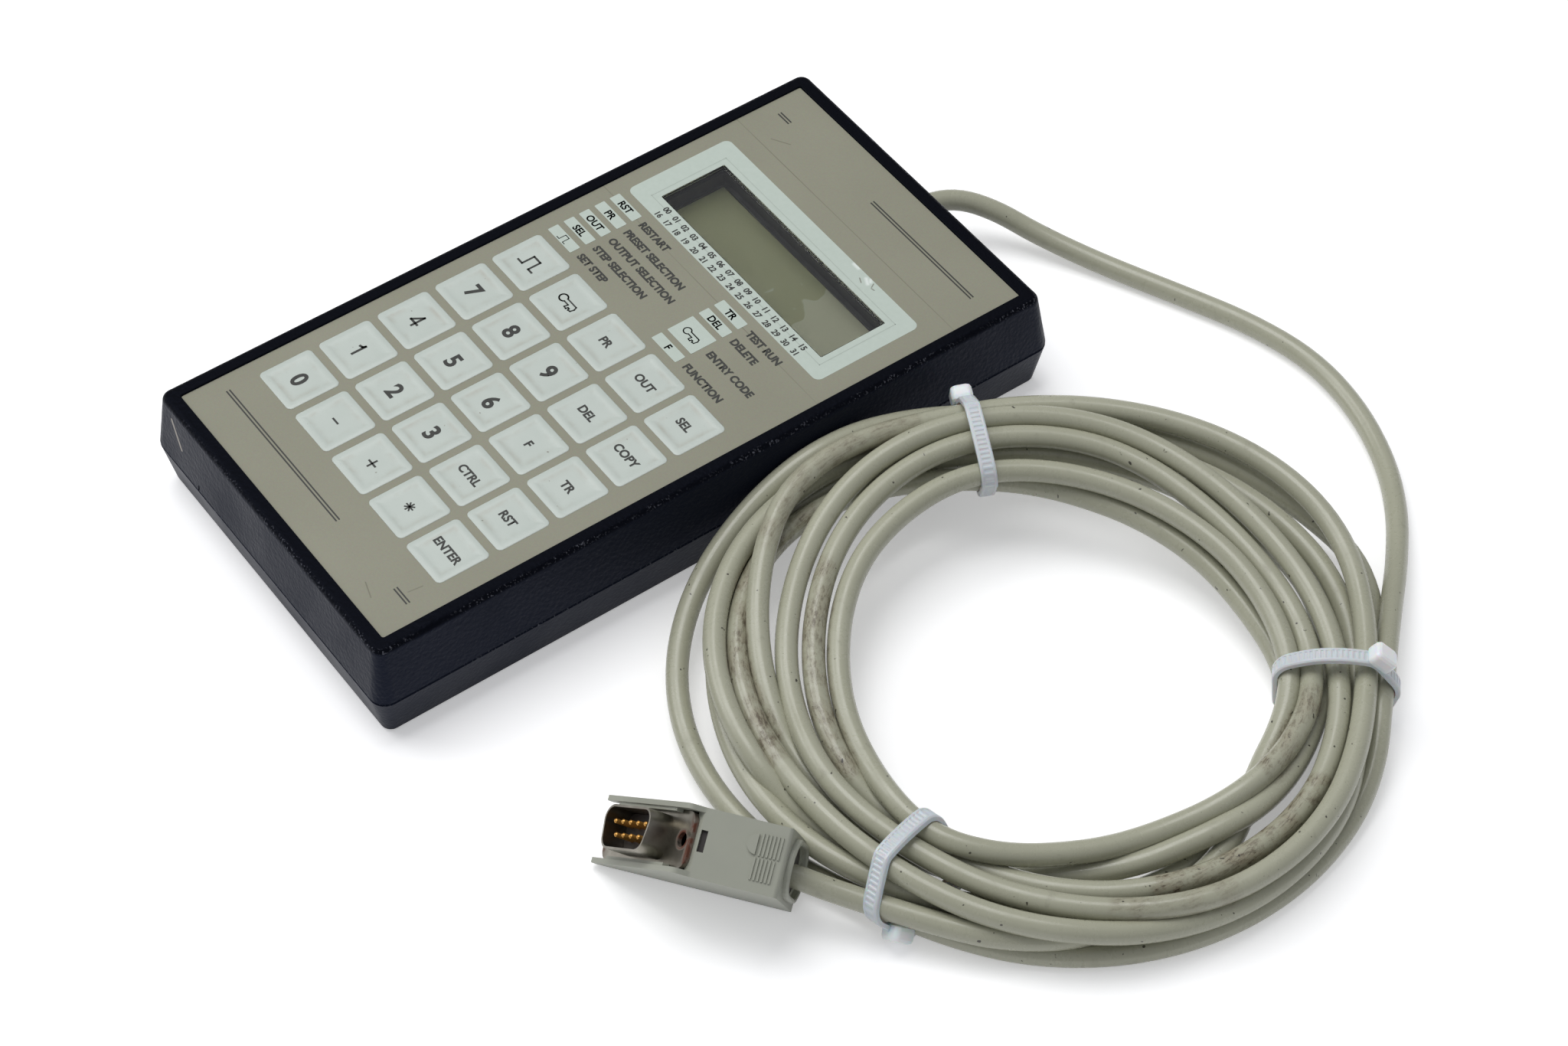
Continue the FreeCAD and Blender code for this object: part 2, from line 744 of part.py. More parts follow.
def oval(angle, section, grow=0.0):
    """Points of an upright oval across the ring at an angle, grown outwards all round."""
    inner, outer, half_height, rise = section
    a = math.radians(angle)
    radial = V(math.cos(a), math.sin(a), 0)
    centre = radial * ((inner + outer) / 2) + V(0, 0, rise)
    points = []
    for k in range(oval_points):
        turn = 2 * math.pi * k / oval_points
        side = ((outer - inner) / 2 + grow) * math.cos(turn)
        points.append(centre + radial * side + V(0, 0, (half_height + grow) * math.sin(turn)))
    return points


def oval_block(angle, section, grow, thickness):
    """Smooth oval plate across the ring."""
    a = math.radians(angle)
    tangent = V(-math.sin(a), math.cos(a), 0)
    curve = Part.BSplineCurve()
    curve.interpolate(oval(angle, section, grow), True)
    face = Part.Face(Part.Wire([curve.toShape()]))
    face.translate(tangent * (-thickness / 2))
    return face.extrude(tangent * thickness)


def section_at(angle):
    """Ring's section at any angle, eased between the stations before and after it."""
    count = len(coil_sections)
    for k in range(count):
        first = coil_sections[k]
        last = coil_sections[(k + 1) % count]
        span = (last[0] - first[0]) % 360
        part = (angle - first[0]) % 360
        if part <= span:
            ease = (1 - math.cos(math.pi * part / span)) / 2
            return [a + (b - a) * ease for a, b in zip(first[1:], last[1:])]


def cable_coil():
    """Closed ring of flat faces through sections all the way round."""
    rings = []
    for k in range(coil_steps):
        angle = coil_sections[0][0] + 360 * k / coil_steps
        rings.append(oval(angle, section_at(angle)))
    faces = []
    for k in range(coil_steps):
        ahead = rings[(k + 1) % coil_steps]
        for j in range(oval_points):
            a = rings[k][j]
            b = rings[k][(j + 1) % oval_points]
            c = ahead[(j + 1) % oval_points]
            d = ahead[j]
            faces.append(Part.Face(Part.makePolygon([a, b, c, a])))
            faces.append(Part.Face(Part.makePolygon([a, c, d, a])))
    ring = Part.makeSolid(Part.makeShell(faces))
    if ring.Volume < 0:
        ring.reverse()
    print("coil valid", ring.isValid(), "closed", ring.isClosed(), "volume", round(ring.Volume))
    return lean_coil(ring)


def cable_tie(angle):
    """Strap round the coil with its head at the outer side."""
    section = section_at(angle)
    strap = oval_block(angle, section, tie_gap + tie_strap, tie_width)
    strap = strap.cut(oval_block(angle, section, tie_gap, 2 * tie_width))
    head = Part.makeBox(tie_head_depth, tie_head_width, tie_head_height,
                        V(section[1] + tie_gap, -tie_head_width / 2, section[3] - tie_head_height / 3))
    head.rotate(V(0, 0, 0), UP, angle)
    return lean_coil(strap.fuse(head))


def place_plug(shape):
    """Moves a piece from the hood's own axes, X towards the cable, to where the plug lies."""
    roll = math.radians(plug_roll)
    rise = hood_thickness / 2 * math.sin(roll) + hood_height / 2 * math.cos(roll) + plug_floor_gap
    shape.rotate(V(0, 0, 0), V(1, 0, 0), plug_roll)
    shape.rotate(V(0, 0, 0), UP, plug_yaw)
    shape.translate(V(plug_x, plug_y, rise))
    return shape


def face_point(along, out):
    """Point of the hood's side view: along the slanted face, up from its middle, and out from it."""
    t = math.sqrt(0.5)
    return V(-hood_height / 2 + t * (along - out), 0, t * (along + out))


def face_at_height(z, out):
    """Point of the side view at height z on the line that lies out from the slanted face."""
    return face_point(z * math.sqrt(2) - out, out)


def side_face(points, radii):
    """Flat face through corners that lie in one plane, with the given radius at each."""
    edges = []
    ends = []
    count = len(points)
    for k in range(count):
        corner = points[k]
        to_last = points[k - 1] - corner
        to_next = points[(k + 1) % count] - corner
        opening = to_last.getAngle(to_next)
        reach = radii[k] / math.tan(opening / 2)
        to_last.normalize()
        to_next.normalize()
        middle = to_last + to_next
        middle.normalize()
        tip = corner + middle * (radii[k] / math.sin(opening / 2) - radii[k])
        ends.append((corner + to_last * reach, tip, corner + to_next * reach))
    for k in range(count):
        first, tip, last = ends[k]
        edges.append(Part.Arc(first, tip, last).toShape())
        edges.append(Part.makeLine(last, ends[(k + 1) % count][0]))
    return Part.Face(Part.Wire(edges))


def cheek_face():
    """Broad side of the hood, with the cheek that stands past the slanted face."""
    low = -hood_height / 2
    high = hood_height / 2
    half_face = hood_height / math.sqrt(2)
    points = [V(hood_top_length, 0, low), V(hood_top_length, 0, high), V(hood_corner, 0, high),
              face_point(half_face, hood_cheek_reach), face_point(-half_face, hood_cheek_reach),
              V(-hood_height - hood_corner / 2, 0, low)]
    radii = [hood_corner / 2, hood_corner / 2, hood_corner, hood_corner, hood_tip_corner, hood_tip_corner]
    return side_face(points, radii)


def thick(face, y_start, y_end):
    face.translate(V(0, y_start, 0))
    return face.extrude(V(0, y_end - y_start, 0))


def face_box(along, width, out_start, out_end, y):
    """Box in the slanted face's own axes."""
    body = Part.makeBox(along, width, out_end - out_start, V(-along / 2, -width / 2, out_start))
    return set_in_face(body, y)


def set_in_face(body, y=0.0):
    """Turns a piece made along the face's axes, X along it and Z out of it, into the hood's axes."""
    body.rotate(V(0, 0, 0), ALONG, -45)
    body.translate(V(-hood_height / 2, y, 0))
    return body


def hood_ledge(y):
    return face_box(hood_ledge_length, hood_ledge_thickness, fit, hood_ledge_reach, y)


def plug_hood():
    """Tray of the hood: one broad side, the narrow walls, the rear block with its bore and the grips."""
    half = hood_thickness / 2
    low = -hood_height / 2
    high = hood_height / 2
    back = -shell_flange_thickness - fit
    bar = side_face([V(hood_top_length, 0, low), V(hood_top_length, 0, high), face_at_height(high, back),
                     face_at_height(low, back)], [hood_corner / 2, hood_corner / 2, fit, fit])
    body = thick(bar, -half, half - hood_cheek)
    rear = hood_top_length - hood_rear_length
    room = high - hood_wall
    inside = [V(rear, 0, -room), V(rear, 0, room), face_at_height(room, hood_wall),
              face_at_height(-room, hood_wall)]
    hollow = thick(side_face(inside, [fit] * 4), -half + hood_cheek, half)
    bore = Part.makeCylinder(hood_bore_radius, hood_rear_length + 1, V(rear - 0.5, 0, 0), V(1, 0, 0))
    slot = box(hood_slot_width, hood_slot_length, high - hood_slot_depth, high,
               hood_slot_x + hood_slot_width / 2, hood_slot_shift)
    body = body.cut([hollow, bore, slot])
    cheek = thick(cheek_face(), -half, -half + hood_cheek)
    extras = [cheek, hood_ledge(-half + hood_cheek + hood_ledge_thickness / 2)]
    for k in range(grip_rib_count):
        x = grip_start + k * grip_rib_pitch
        upper_y = (grip_half_length + grip_seam) / 2
        extras.append(box(grip_rib_width, grip_half_length, high - grip_rib_height, high + grip_rib_height,
                          x, upper_y))
        extras.append(box(grip_rib_width, grip_half_length, high - grip_rib_height, high + grip_rib_height,
                          x + grip_lower_shift, -upper_y))
    latch = post(grip_start - grip_rib_pitch, half / 3, latch_radius, high - latch_height, high + latch_height)
    latch = latch.cut(box(2 * latch_radius, 4 * latch_radius, high - 2 * latch_height, high + 2 * latch_height,
                          grip_start - grip_rib_pitch + latch_radius, half / 3))
    return place_plug(body.fuse(extras + [latch]).removeSplitter())


def plug_cover():
    """Far broad side of the hood, a plate with its own cheek and ledge."""
    half = hood_thickness / 2
    plate = thick(cheek_face(), half - hood_cheek, half)
    return place_plug(plate.fuse(hood_ledge(half - hood_cheek - hood_ledge_thickness / 2)))


def d_face(grow, z):
    """D-shaped outline, wide on the side of the longer row, grown outwards all round."""
    slant = math.tan(math.radians(shell_slant))
    half_w = shell_inner_width / 2 + grow
    wide = shell_inner_length / 2 + grow
    narrow = wide - 2 * half_w * slant
    points = [V(wide, half_w, z), V(-wide, half_w, z), V(-narrow, -half_w, z), V(narrow, -half_w, z)]
    return side_face(points, [shell_corner + grow] * 4)


def d_block(grow, bottom, top):
    return d_face(grow, bottom).extrude(V(0, 0, top - bottom))


def plug_shell():
    """Pressed metal shell: a flange with two holes and the D-shaped wall that stands on it."""
    flange = slab(shell_flange_length, shell_flange_width, shell_corner, -shell_flange_thickness, 0)
    shell = flange.fuse(d_block(shell_sheet, -shell_flange_thickness, shell_height))
    reach = shell_hole_spacing / 2
    holes = [post(x, 0, shell_hole_radius, -shell_flange_thickness, 0) for x in (-reach, reach)]
    holes.append(d_block(0, -shell_flange_thickness, shell_height))
    return place_plug(set_in_face(shell.cut(holes)))


def pin_places():
    places = [((k - 2) * plug_pin_pitch, plug_row_spacing / 2) for k in range(5)]
    return places + [((k - 1.5) * plug_pin_pitch, -plug_row_spacing / 2) for k in range(4)]


def plug_insulator():
    block = d_block(-fit, -insulator_below, insulator_above)
    holes = [post(x, y, plug_pin_radius + fit / 2, -insulator_below, insulator_above) for x, y in pin_places()]
    return place_plug(set_in_face(block.cut(holes)))


def plug_pins():
    """Nine turned pins with tapered tips."""
    tip = plug_pin_radius / 2
    outline = [V(0, 0, -plug_pin_below), V(plug_pin_radius, 0, -plug_pin_below),
               V(plug_pin_radius, 0, plug_pin_above - tip), V(tip, 0, plug_pin_above), V(0, 0, plug_pin_above),
               V(0, 0, -plug_pin_below)]
    pins = []
    for x, y in pin_places():
        pin = Part.Face(Part.makePolygon(outline)).revolve(V(0, 0, 0), UP, 360)
        pin.translate(V(x, y, 0))
        pins.append(place_plug(set_in_face(pin)))
    return pins


def plug_clamp():
    """Block behind the bore that grips the cable inside the hood."""
    rear = hood_top_length - hood_rear_length
    half = hood_thickness / 2 - hood_cheek - fit
    height = hood_height - 2 * hood_wall - 2 * fit
    block = Part.makeBox(hood_clamp_length, 2 * half, height, V(rear - hood_clamp_length, -half, -height / 2))
    front = V(rear - hood_clamp_length, 0, 0)
    hole = Part.makeCylinder(cable_radius + fit, hood_clamp_length, front, V(1, 0, 0))
    return place_plug(block.cut(hole))


def all_pieces():
    pieces = {
        "top_shell": top_shell(),
        "bottom_shell": bottom_shell(),
        "case_screws": case_screws(),
        "front_film": front_film(),
        "spacer_layer": spacer_layer(),
        "circuit_layer": circuit_layer(),
        "snap_domes": snap_domes(),
        "keypad_tail": keypad_tail(),
        "display_window": display_window(),
        "display_gasket": display_gasket(),
        "display_bezel": display_bezel(),
        "display_glass": display_glass(),
        "display_board": display_board(),
        "display_screws": display_screws(),
        "main_board": main_board(),
        "board_screws": board_screws(),
        "chips": chips(),
        "board_parts": board_parts(),
        "headers": headers(),
        "cable_leads": cable_leads(),
        "cable_inner_end": cable_inner_end(),
        "cable_clamp": cable_clamp(),
        "cable_bush": cable_bush(),
        "cable_tail": cord_tube("cable_tail", tail_route, cable_radius),
        "cable_coil": cable_coil(),
        "cable_lead": cord_tube("cable_lead", lead_route, cable_radius),
        "plug_hood": plug_hood(),
        "plug_cover": plug_cover(),
        "plug_shell": plug_shell(),
        "plug_insulator": plug_insulator(),
        "plug_pins": plug_pins(),
        "plug_clamp": plug_clamp(),
    }
    for name, angle in tie_angles.items():
        pieces[name] = cable_tie(angle)
    for name, x, y in key_places():
        pieces["key_" + name] = key(x, y)
    return pieces


def main():
    os.makedirs("parts", exist_ok=True)
    for name, piece in all_pieces().items():
        solids = piece if isinstance(piece, list) else [piece]
        shape = Part.makeCompound(solids) if len(solids) > 1 else solids[0]
        shape.exportStep("parts/" + name + ".step")


main()
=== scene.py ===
import math

import bmesh
import bpy
import numpy as np
from mathutils import Matrix, Vector


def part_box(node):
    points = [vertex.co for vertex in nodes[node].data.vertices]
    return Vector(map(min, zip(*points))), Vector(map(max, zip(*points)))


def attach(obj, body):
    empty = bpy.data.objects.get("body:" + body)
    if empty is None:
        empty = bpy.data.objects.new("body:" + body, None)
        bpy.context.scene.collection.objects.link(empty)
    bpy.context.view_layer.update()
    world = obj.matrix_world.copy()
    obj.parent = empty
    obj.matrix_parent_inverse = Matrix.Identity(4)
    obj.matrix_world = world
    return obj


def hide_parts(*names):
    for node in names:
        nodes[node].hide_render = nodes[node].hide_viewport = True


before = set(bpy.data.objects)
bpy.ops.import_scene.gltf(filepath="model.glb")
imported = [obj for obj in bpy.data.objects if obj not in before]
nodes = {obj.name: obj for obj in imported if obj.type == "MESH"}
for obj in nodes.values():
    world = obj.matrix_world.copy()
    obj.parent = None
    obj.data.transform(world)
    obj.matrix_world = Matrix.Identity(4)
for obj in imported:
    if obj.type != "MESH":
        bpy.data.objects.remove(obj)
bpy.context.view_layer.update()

scene = bpy.context.scene
mm = 0.001
body = "terminal"

# The front's sizes, in metres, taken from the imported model.
film_low, film_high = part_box("front_film")
window_low, window_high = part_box("display_window")
film_top = film_high.z
panel_unit = (film_high.x - film_low.x) / 100

# Marks of use: a gouge in the front wall, in mm, and creases and scratches on the film in panel places;
# the creases are drawn as dark lines of painted shade in their folds.
case_gouge = ((-39.7, -87.9, 23.7), (-35.3, -88.7, 18.2))
film_crease_shade = [(0, 133.0, 100, 133.0), (0, 177.8, 100, 177.8)]
film_scratches = [(86.0, 25.5, 90.0, 22.0), (91.5, 17.0, 91.0, 13.0), (82.0, 6.0, 87.0, 4.5),
                  (12.0, 181.0, 17.0, 184.0), (88.5, 104.0, 94.0, 103.0)]
# Where the white frame's ink is knocked pale and cut dark, in panel places.
frame_scuffs = [(70.8, 170.3, 72.7, 169.4), (72.0, 170.9, 72.6, 170.4), (64.5, 170.9, 66.5, 170.9)]
frame_cuts = [(69.6, 169.0, 71.2, 168.3), (73.6, 170.7, 74.3, 169.5), (74.6, 169.2, 75.6, 169.4)]

# The plug, in mm: its hood's middle, with its turn on the floor and its roll; the slanted face on it,
# along, across and out of it; and the face's metal flange.
hood_place = (Matrix.Translation((116.47, -55.93, 13.31)) @ Matrix.Rotation(math.radians(37.4), 4, "Z")
              @ Matrix.Rotation(math.radians(28.3), 4, "X"))
plug_place = hood_place @ Matrix.Translation((-10.9, 0, 0)) @ Matrix.Rotation(math.radians(-45), 4, "Y")
plug_flange = (30.8, 12.0)
plug_hole_spacing = 25.0

# The window reaches this far under the film round its cut-out.
window_ledge = 1.6 * mm

# Ink stands this far above the film, so that it is seen on it and not in it.
ink_stand = 0.04 * mm


def panel(u, v):
    """A place on the front, in hundredths of the film's width from its lower left corner."""
    return film_low.x + u * panel_unit, film_low.y + v * panel_unit


# The data cable, in mm. The tail's and the lead's points are the route of the imported tubes, and the
# tail's last three are lifted to clear the turn below.
cable_diameter = 5.0
tail_route = [
    (-5.5, 84, 12), (-5.5, 93, 12), (-2.6, 101, 11.6), (4, 107.5, 9), (13.5, 113, 5.2),
    (28, 120.5, 2.9), (46, 129, 2.7), (63, 136.5, 2.7), (80, 140.5, 2.7), (97, 139, 2.7),
    (113, 133.5, 2.8), (126, 125.5, 3.4), (138, 114.5, 5.4), (149, 102.5, 8.2), (157.5, 93.5, 9.9),
]
lead_route = [(139.5, -38.2, 9.4), (131.8, -44.2, 12), (124, -50.2, 13)]

# The tied ring lies on a slope against the case: its middle, its rise per mm, and its high side.
ring_middle = (119.4, 29.6, 12.4)
ring_slope = 7.6 / 62.5
ring_high_side = 172.0
# Per mm of height, how far a strand shifts so that it keeps its place in the photograph.
sight_shift = (0.696, -0.49)
tie_angles = (53, -66, -201)
# Each strap's plane: its middle, which way is outwards, how it leans, and where round the bundle its
# head sits: 90 is on top and 0 at the outer side. A strap is stiff: the last is how far it stands off.
tie_places = {
    "tie_right": ((157.7, 78.2, 9.8), 48.4, -5.9, 50, 2.6),
    "tie_bottom": ((145.3, -25.7, 9.1), -75.0, 28.6, -42, 1.2),
    "tie_top": ((70.3, 51.4, 21.1), 155.7, -2.3, 20, 1.3),
}
strap_thick = 1.1

# The case's walls beside the ring, in mm: half the width at the joint of the shells, the joint's height,
# and how much each shell leans in per mm away from it.
case_half_width = 47.7
shell_joint = 12
top_lean, base_lean = 2.2 / 15, 2.3 / 12

# Each turn of the ring, clockwise from the right tie: where it is seen on the ring's plane at
# these angles, as a radius, and how far it lies above that plane. The turns fan out between ties.
station_angles = [53, 27, 0, -33, -66, -80, -94, -108, -122, -136, -150, -164, -180, -190, -201, -230,
                  -256, -270, -282, -295]
coil_turns = [
    ([71.5, 73.1, 70.9, 68.2, 67, 72, 75.8, 78.6, 77.8, 75.4, 72.4, 71.2, 71.2, 68.4, 65.5,
      63.5, 69.7, 72.2, 79.3, 75.5],
     [1, -2.7, -1.4, -2.3, -5.4, -7.1, -9.1, -11, -13.2, -14, -9.5, -2.5, 1.3, -1, -4.5,
      -4.2, -3.6, -5, -7.5, -7]),
    ([71, 68.1, 66, 64.2, 62.5, 62.6, 62.8, 65.8, 68.8, 70.2, 69.4, 67.3, 64, 61, 58.5,
      59.5, 64.5, 67, 69.3, 69.3],
     [-3.6, -3, -2.2, -2, -2.4, -1, 0.4, 1, 0.6, 0, -0.8, -1.6, -5, -5.5, -3.6, -3.4,
      -2.6, -2.4, -2.2, -2.6]),
    ([66, 70, 67.8, 62.2, 58.2, 58.5, 59.8, 62, 64, 65.3, 64.4, 61, 55, 50.8, 48.5,
      44.6, 45, 46.2, 47, 49.3],
     [-2.6, 1.9, 3.5, 4, 2.5, 2.2, 1.6, 0.8, 0, -0.8, -3.2, -5, -5.2, -4.2, -2.8, -2.2,
      -2.4, -2.6, -2.6, -2.4]),
    ([54.5, 53.9, 55.2, 58.5, 61.8, 65, 68.1, 68.9, 68.7, 68, 67, 65, 59.5, 56, 54.5,
      55, 57.5, 60.5, 64, 64.5],
     [-3, -3.6, -3.2, -3, 0.4, -0.4, -1.8, -2.6, -4, -5.5, -6.2, -7, -7.5, -4, -1,
      -1.8, -3, -3, -2.8, -2.6]),
    ([60.2, 56.5, 49.6, 50.3, 54.5, 55.8, 56.6, 57.1, 58.3, 60.2, 63.5, 69.2, 69.2, 65.6, 64.8,
      69.2, 75.2, 77.3, 75.2, 70.4],
     [-2.6, 1, 0.5, -4, -4.5, -2, -0.2, 0.6, 1, 1.6, 2.6, 3.8, 4.2, 3, -0.5, 0.5, 1,
      1.1, 1.6, 2.2]),
    ([67.6, 67, 63.6, 56.2, 51.8, 52.6, 54, 54.1, 53.5, 53.6, 55, 57.8, 61.2, 63.2, 64.6,
      65.3, 62, 61.4, 62.2, 63.1],
     [2.6, 6.4, 7, 5, 2.6, 2, 1.5, 1, 0.5, 0.5, 0.3, 0.4, 1.2, 2.5, 3.6, 2.4, 1.8, 2,
      2, 2.2]),
    ([63.2, 63, 58.5, 53.5, 49.5, 49.4, 48.7, 48, 47.6, 47.8, 49.5, 52, 55.2, 57.2, 59.4,
      59.9, 55.6, 55.1, 56.1, 57.7],
     [2.6, 3.5, 3.5, 0, -2, 0, 0.8, 0.6, 0.5, 0.5, 0.5, 0.7, 1.4, 2, 2.4, 1.6, 1, 1.2,
      1.6, 2.2]),
    ([58.9, 51.6, 45.4, 44.5, 48.8, 46.2, 44.3, 42.9, 42.4, 42.5, 43.9, 45.7, 47.2, 49, 50.8,
      49.8, 50.2, 51.5, 51.8, 52.8],
     [2.4, 4.2, 1, 0.4, 2.4, 1.8, 0.6, 0, 0, 0, 0.2, 0.8, 1.8, 2.2, 2.4, 1.8, 1.6, 1.6,
      1.9, 2.2]),
    ([54.4, 49.3, 57.5, 65.4, 66.5], [2.2, 0.5, -2.6, -0.5, -1.2]),
]
# The ring's points in degrees: where they start, how far apart, and how much of the end is left off.
coil_start, coil_step, coil_end = -48, 10.0, 5
# The strands are settled in sweeps, each of which mends a share of every fault: strands that overlap, up
# and aside; kinks and drift, in the place seen and in height; and strands in the case.
settle_sweeps = 240
part_up, part_aside = 0.22, 0.05
smooth_seen, smooth_level = 0.03, 0.08
hold_seen, hold_level = 0.05, 0.015
clear_wall = 0.5
# Room in mm between two strands or a strand and the floor, and at a strap or the case.
strand_room, strap_room = 0.05, 0.15
# A strap lifts the strands this many degrees to each side of it.
lift_reach = 10

# The keys, bottom row first: each one's name and what is printed on it. Signs are drawn below.
key_print = {
    "zero": "0", "minus": "-", "plus": "+", "star": "*", "enter": "ENTER",
    "one": "1", "two": "2", "three": "3", "control": "CTRL", "reset": "RST",
    "four": "4", "five": "5", "six": "6", "function": "F", "time": "TR",
    "seven": "7", "eight": "8", "nine": "9", "delete": "DEL", "copy": "COPY",
    "pulse": None, "lock": None, "page": "PR", "output": "OUT", "step": "SEL",
}
# A key's corners, which tighten inwards by a share of the way in, down to the least.
key_corner = 1.2 * mm
corner_share, least_corner = 0.7, 0.35 * mm
# From a key's edge inwards: how far in, how high above the film, and how much dirt lies there.
key_profile = [
    (0.0, -0.45, 0.0), (0.0, 0.0, 0.0), (0.07, 0.05, 0.0), (0.30, 0.08, 0.0), (0.56, 0.11, 0.0),
    (0.84, 0.13, 0.0), (1.10, 0.135, 0.0), (1.36, 0.125, 0.0), (1.62, 0.10, 0.2), (1.86, 0.065, 0.5),
    (2.10, 0.035, 0.6), (2.50, 0.01, 0.4), (3.00, 0.0, 0.1), (3.60, 0.0, 0.0),
]
# Marks on keys that are drawn as strokes, in mm from the key's middle.
key_marks = {
    "-": [[(-0.9, 0), (0.9, 0)]],
    "+": [[(-1.15, 0), (1.15, 0)], [(0, -1.15), (0, 1.15)]],
    "*": [[(-1.1, 0), (1.1, 0)], [(0, -1.1), (0, 1.1)], [(-0.75, -0.75), (0.75, 0.75)],
          [(-0.75, 0.75), (0.75, -0.75)]],
    "1": [[(-0.75, 0.95), (-0.1, 1.15), (0.2, 1.75), (0.2, -1.75)]],
    "4": [[(0.55, -1.75), (0.55, 1.75), (-1.15, -0.75), (1.25, -0.75)]],
}
mark_widths = {"-": 0.46, "+": 0.46, "*": 0.36, "1": 0.6, "4": 0.56}
# Stretches of the cable that carry brown handling dirt: turn, from angle, to angle, and how much.
dirty_stretches = [(6, 27, -23, 1.0), (5, 2, -33, 0.45), (7, 52, 22, 0.8), (2, -103, -158, 0.8),
                   (6, -93, -148, 0.7), (4, -150, -190, 0.5)]
# The dirt's grain is this many times longer along the turns than across them, at this radius in mm.
dirt_stretch, dirt_radius = 4, 60


def linear(hex_colour):
    """An sRGB hex colour as the linear one that a shader socket takes."""
    parts = [int(hex_colour[i:i + 2], 16) / 255 for i in (1, 3, 5)]
    return [p / 12.92 if p <= 0.04045 else ((p + 0.055) / 1.055) ** 2.4 for p in parts] + [1.0]


def wire(tree, node, inputs):
    """Sets or links a node's inputs by name or number. A node that is given stands for its first output."""
    for key, value in inputs.items():
        if isinstance(value, bpy.types.Node):
            value = value.outputs[0]
        if isinstance(value, bpy.types.NodeSocket):
            tree.links.new(value, node.inputs[key])
        else:
            node.inputs[key].default_value = value


def add(tree, kind, inputs=None, **settings):
    """Adds a node with its settings and inputs."""
    made = tree.nodes.new("ShaderNode" + kind)
    for key, value in settings.items():
        setattr(made, key, value)
    wire(tree, made, inputs or {})
    return made


def surface(name, colour, roughness, **sockets):
    """A new material, its node tree, its shader and the place on the part that a pattern reads."""
    material = bpy.data.materials.new(name)
    material.use_nodes = True
    tree = material.node_tree
    shader = tree.nodes["Principled BSDF"]
    wire(tree, shader, {"Base Color": linear(colour), "Roughness": roughness})
    wire(tree, shader, {key.replace("_", " "): value for key, value in sockets.items()})
    place = add(tree, "TexCoord").outputs["Object"]
    return material, tree, shader, place


def per(size_mm):
    """The scale of a pattern whose grains are this many mm wide."""
    return 1000.0 / size_mm


def near_line(tree, place, start, end, full, none):
    """1 within the first distance of the line between two points, falling to 0 at the second, in mm."""
    run = (Vector(end) - Vector(start)) * mm
    to_place = add(tree, "VectorMath", {0: place, 1: Vector(start) * mm}, operation="SUBTRACT")
    share = add(tree, "VectorMath", {0: to_place, 1: run / run.length_squared}, operation="DOT_PRODUCT")
    held = add(tree, "Clamp", {"Value": share.outputs["Value"]})
    foot = add(tree, "VectorMath", {0: run, "Scale": held}, operation="SCALE")
    away = add(tree, "VectorMath", {0: to_place, 1: foot}, operation="DISTANCE")
    return add(tree, "MapRange", {"Value": away.outputs["Value"], "From Min": full * mm,
                                  "From Max": none * mm, "To Min": 1.0, "To Max": 0.0})


def joined(tree, operation, values):
    """Several values made into one by the same operation."""
    result = values[0]
    for value in values[1:]:
        result = add(tree, "Math", {0: result, 1: value}, operation=operation)
    return result


def tones(tree, place, size_mm, detail, dark, pale):
    """Clouds of a size in mm, and the colour that runs with them between two tones."""
    clouds = add(tree, "TexNoise", {"Vector": place, "Scale": per(size_mm), "Detail": detail})
    colour = add(tree, "MixRGB", {"Fac": clouds, "Color1": linear(dark), "Color2": linear(pale)})
    return clouds, colour


def specked(tree, place, colour, size_mm, edge, middle, strength, dirt):
    """A colour with scattered specks of dirt, where a noise rises past its edge value to its middle."""
    noise = add(tree, "TexNoise", {"Vector": place, "Scale": per(size_mm), "Detail": 1.0})
    dots = add(tree, "MapRange", {"Value": noise, "From Min": edge, "From Max": middle, "To Max": strength})
    return add(tree, "MixRGB", {"Fac": dots, "Color1": colour, "Color2": linear(dirt)})


def panel_line(tree, place, line, full, none):
    """What near_line gives, for a line on the front between two panel places."""
    u0, v0, u1, v1 = line
    start, end = [[c / mm for c in (*panel(u, v), film_top)] for u, v in ((u0, v0), (u1, v1))]
    return near_line(tree, place, start, end, full, none)
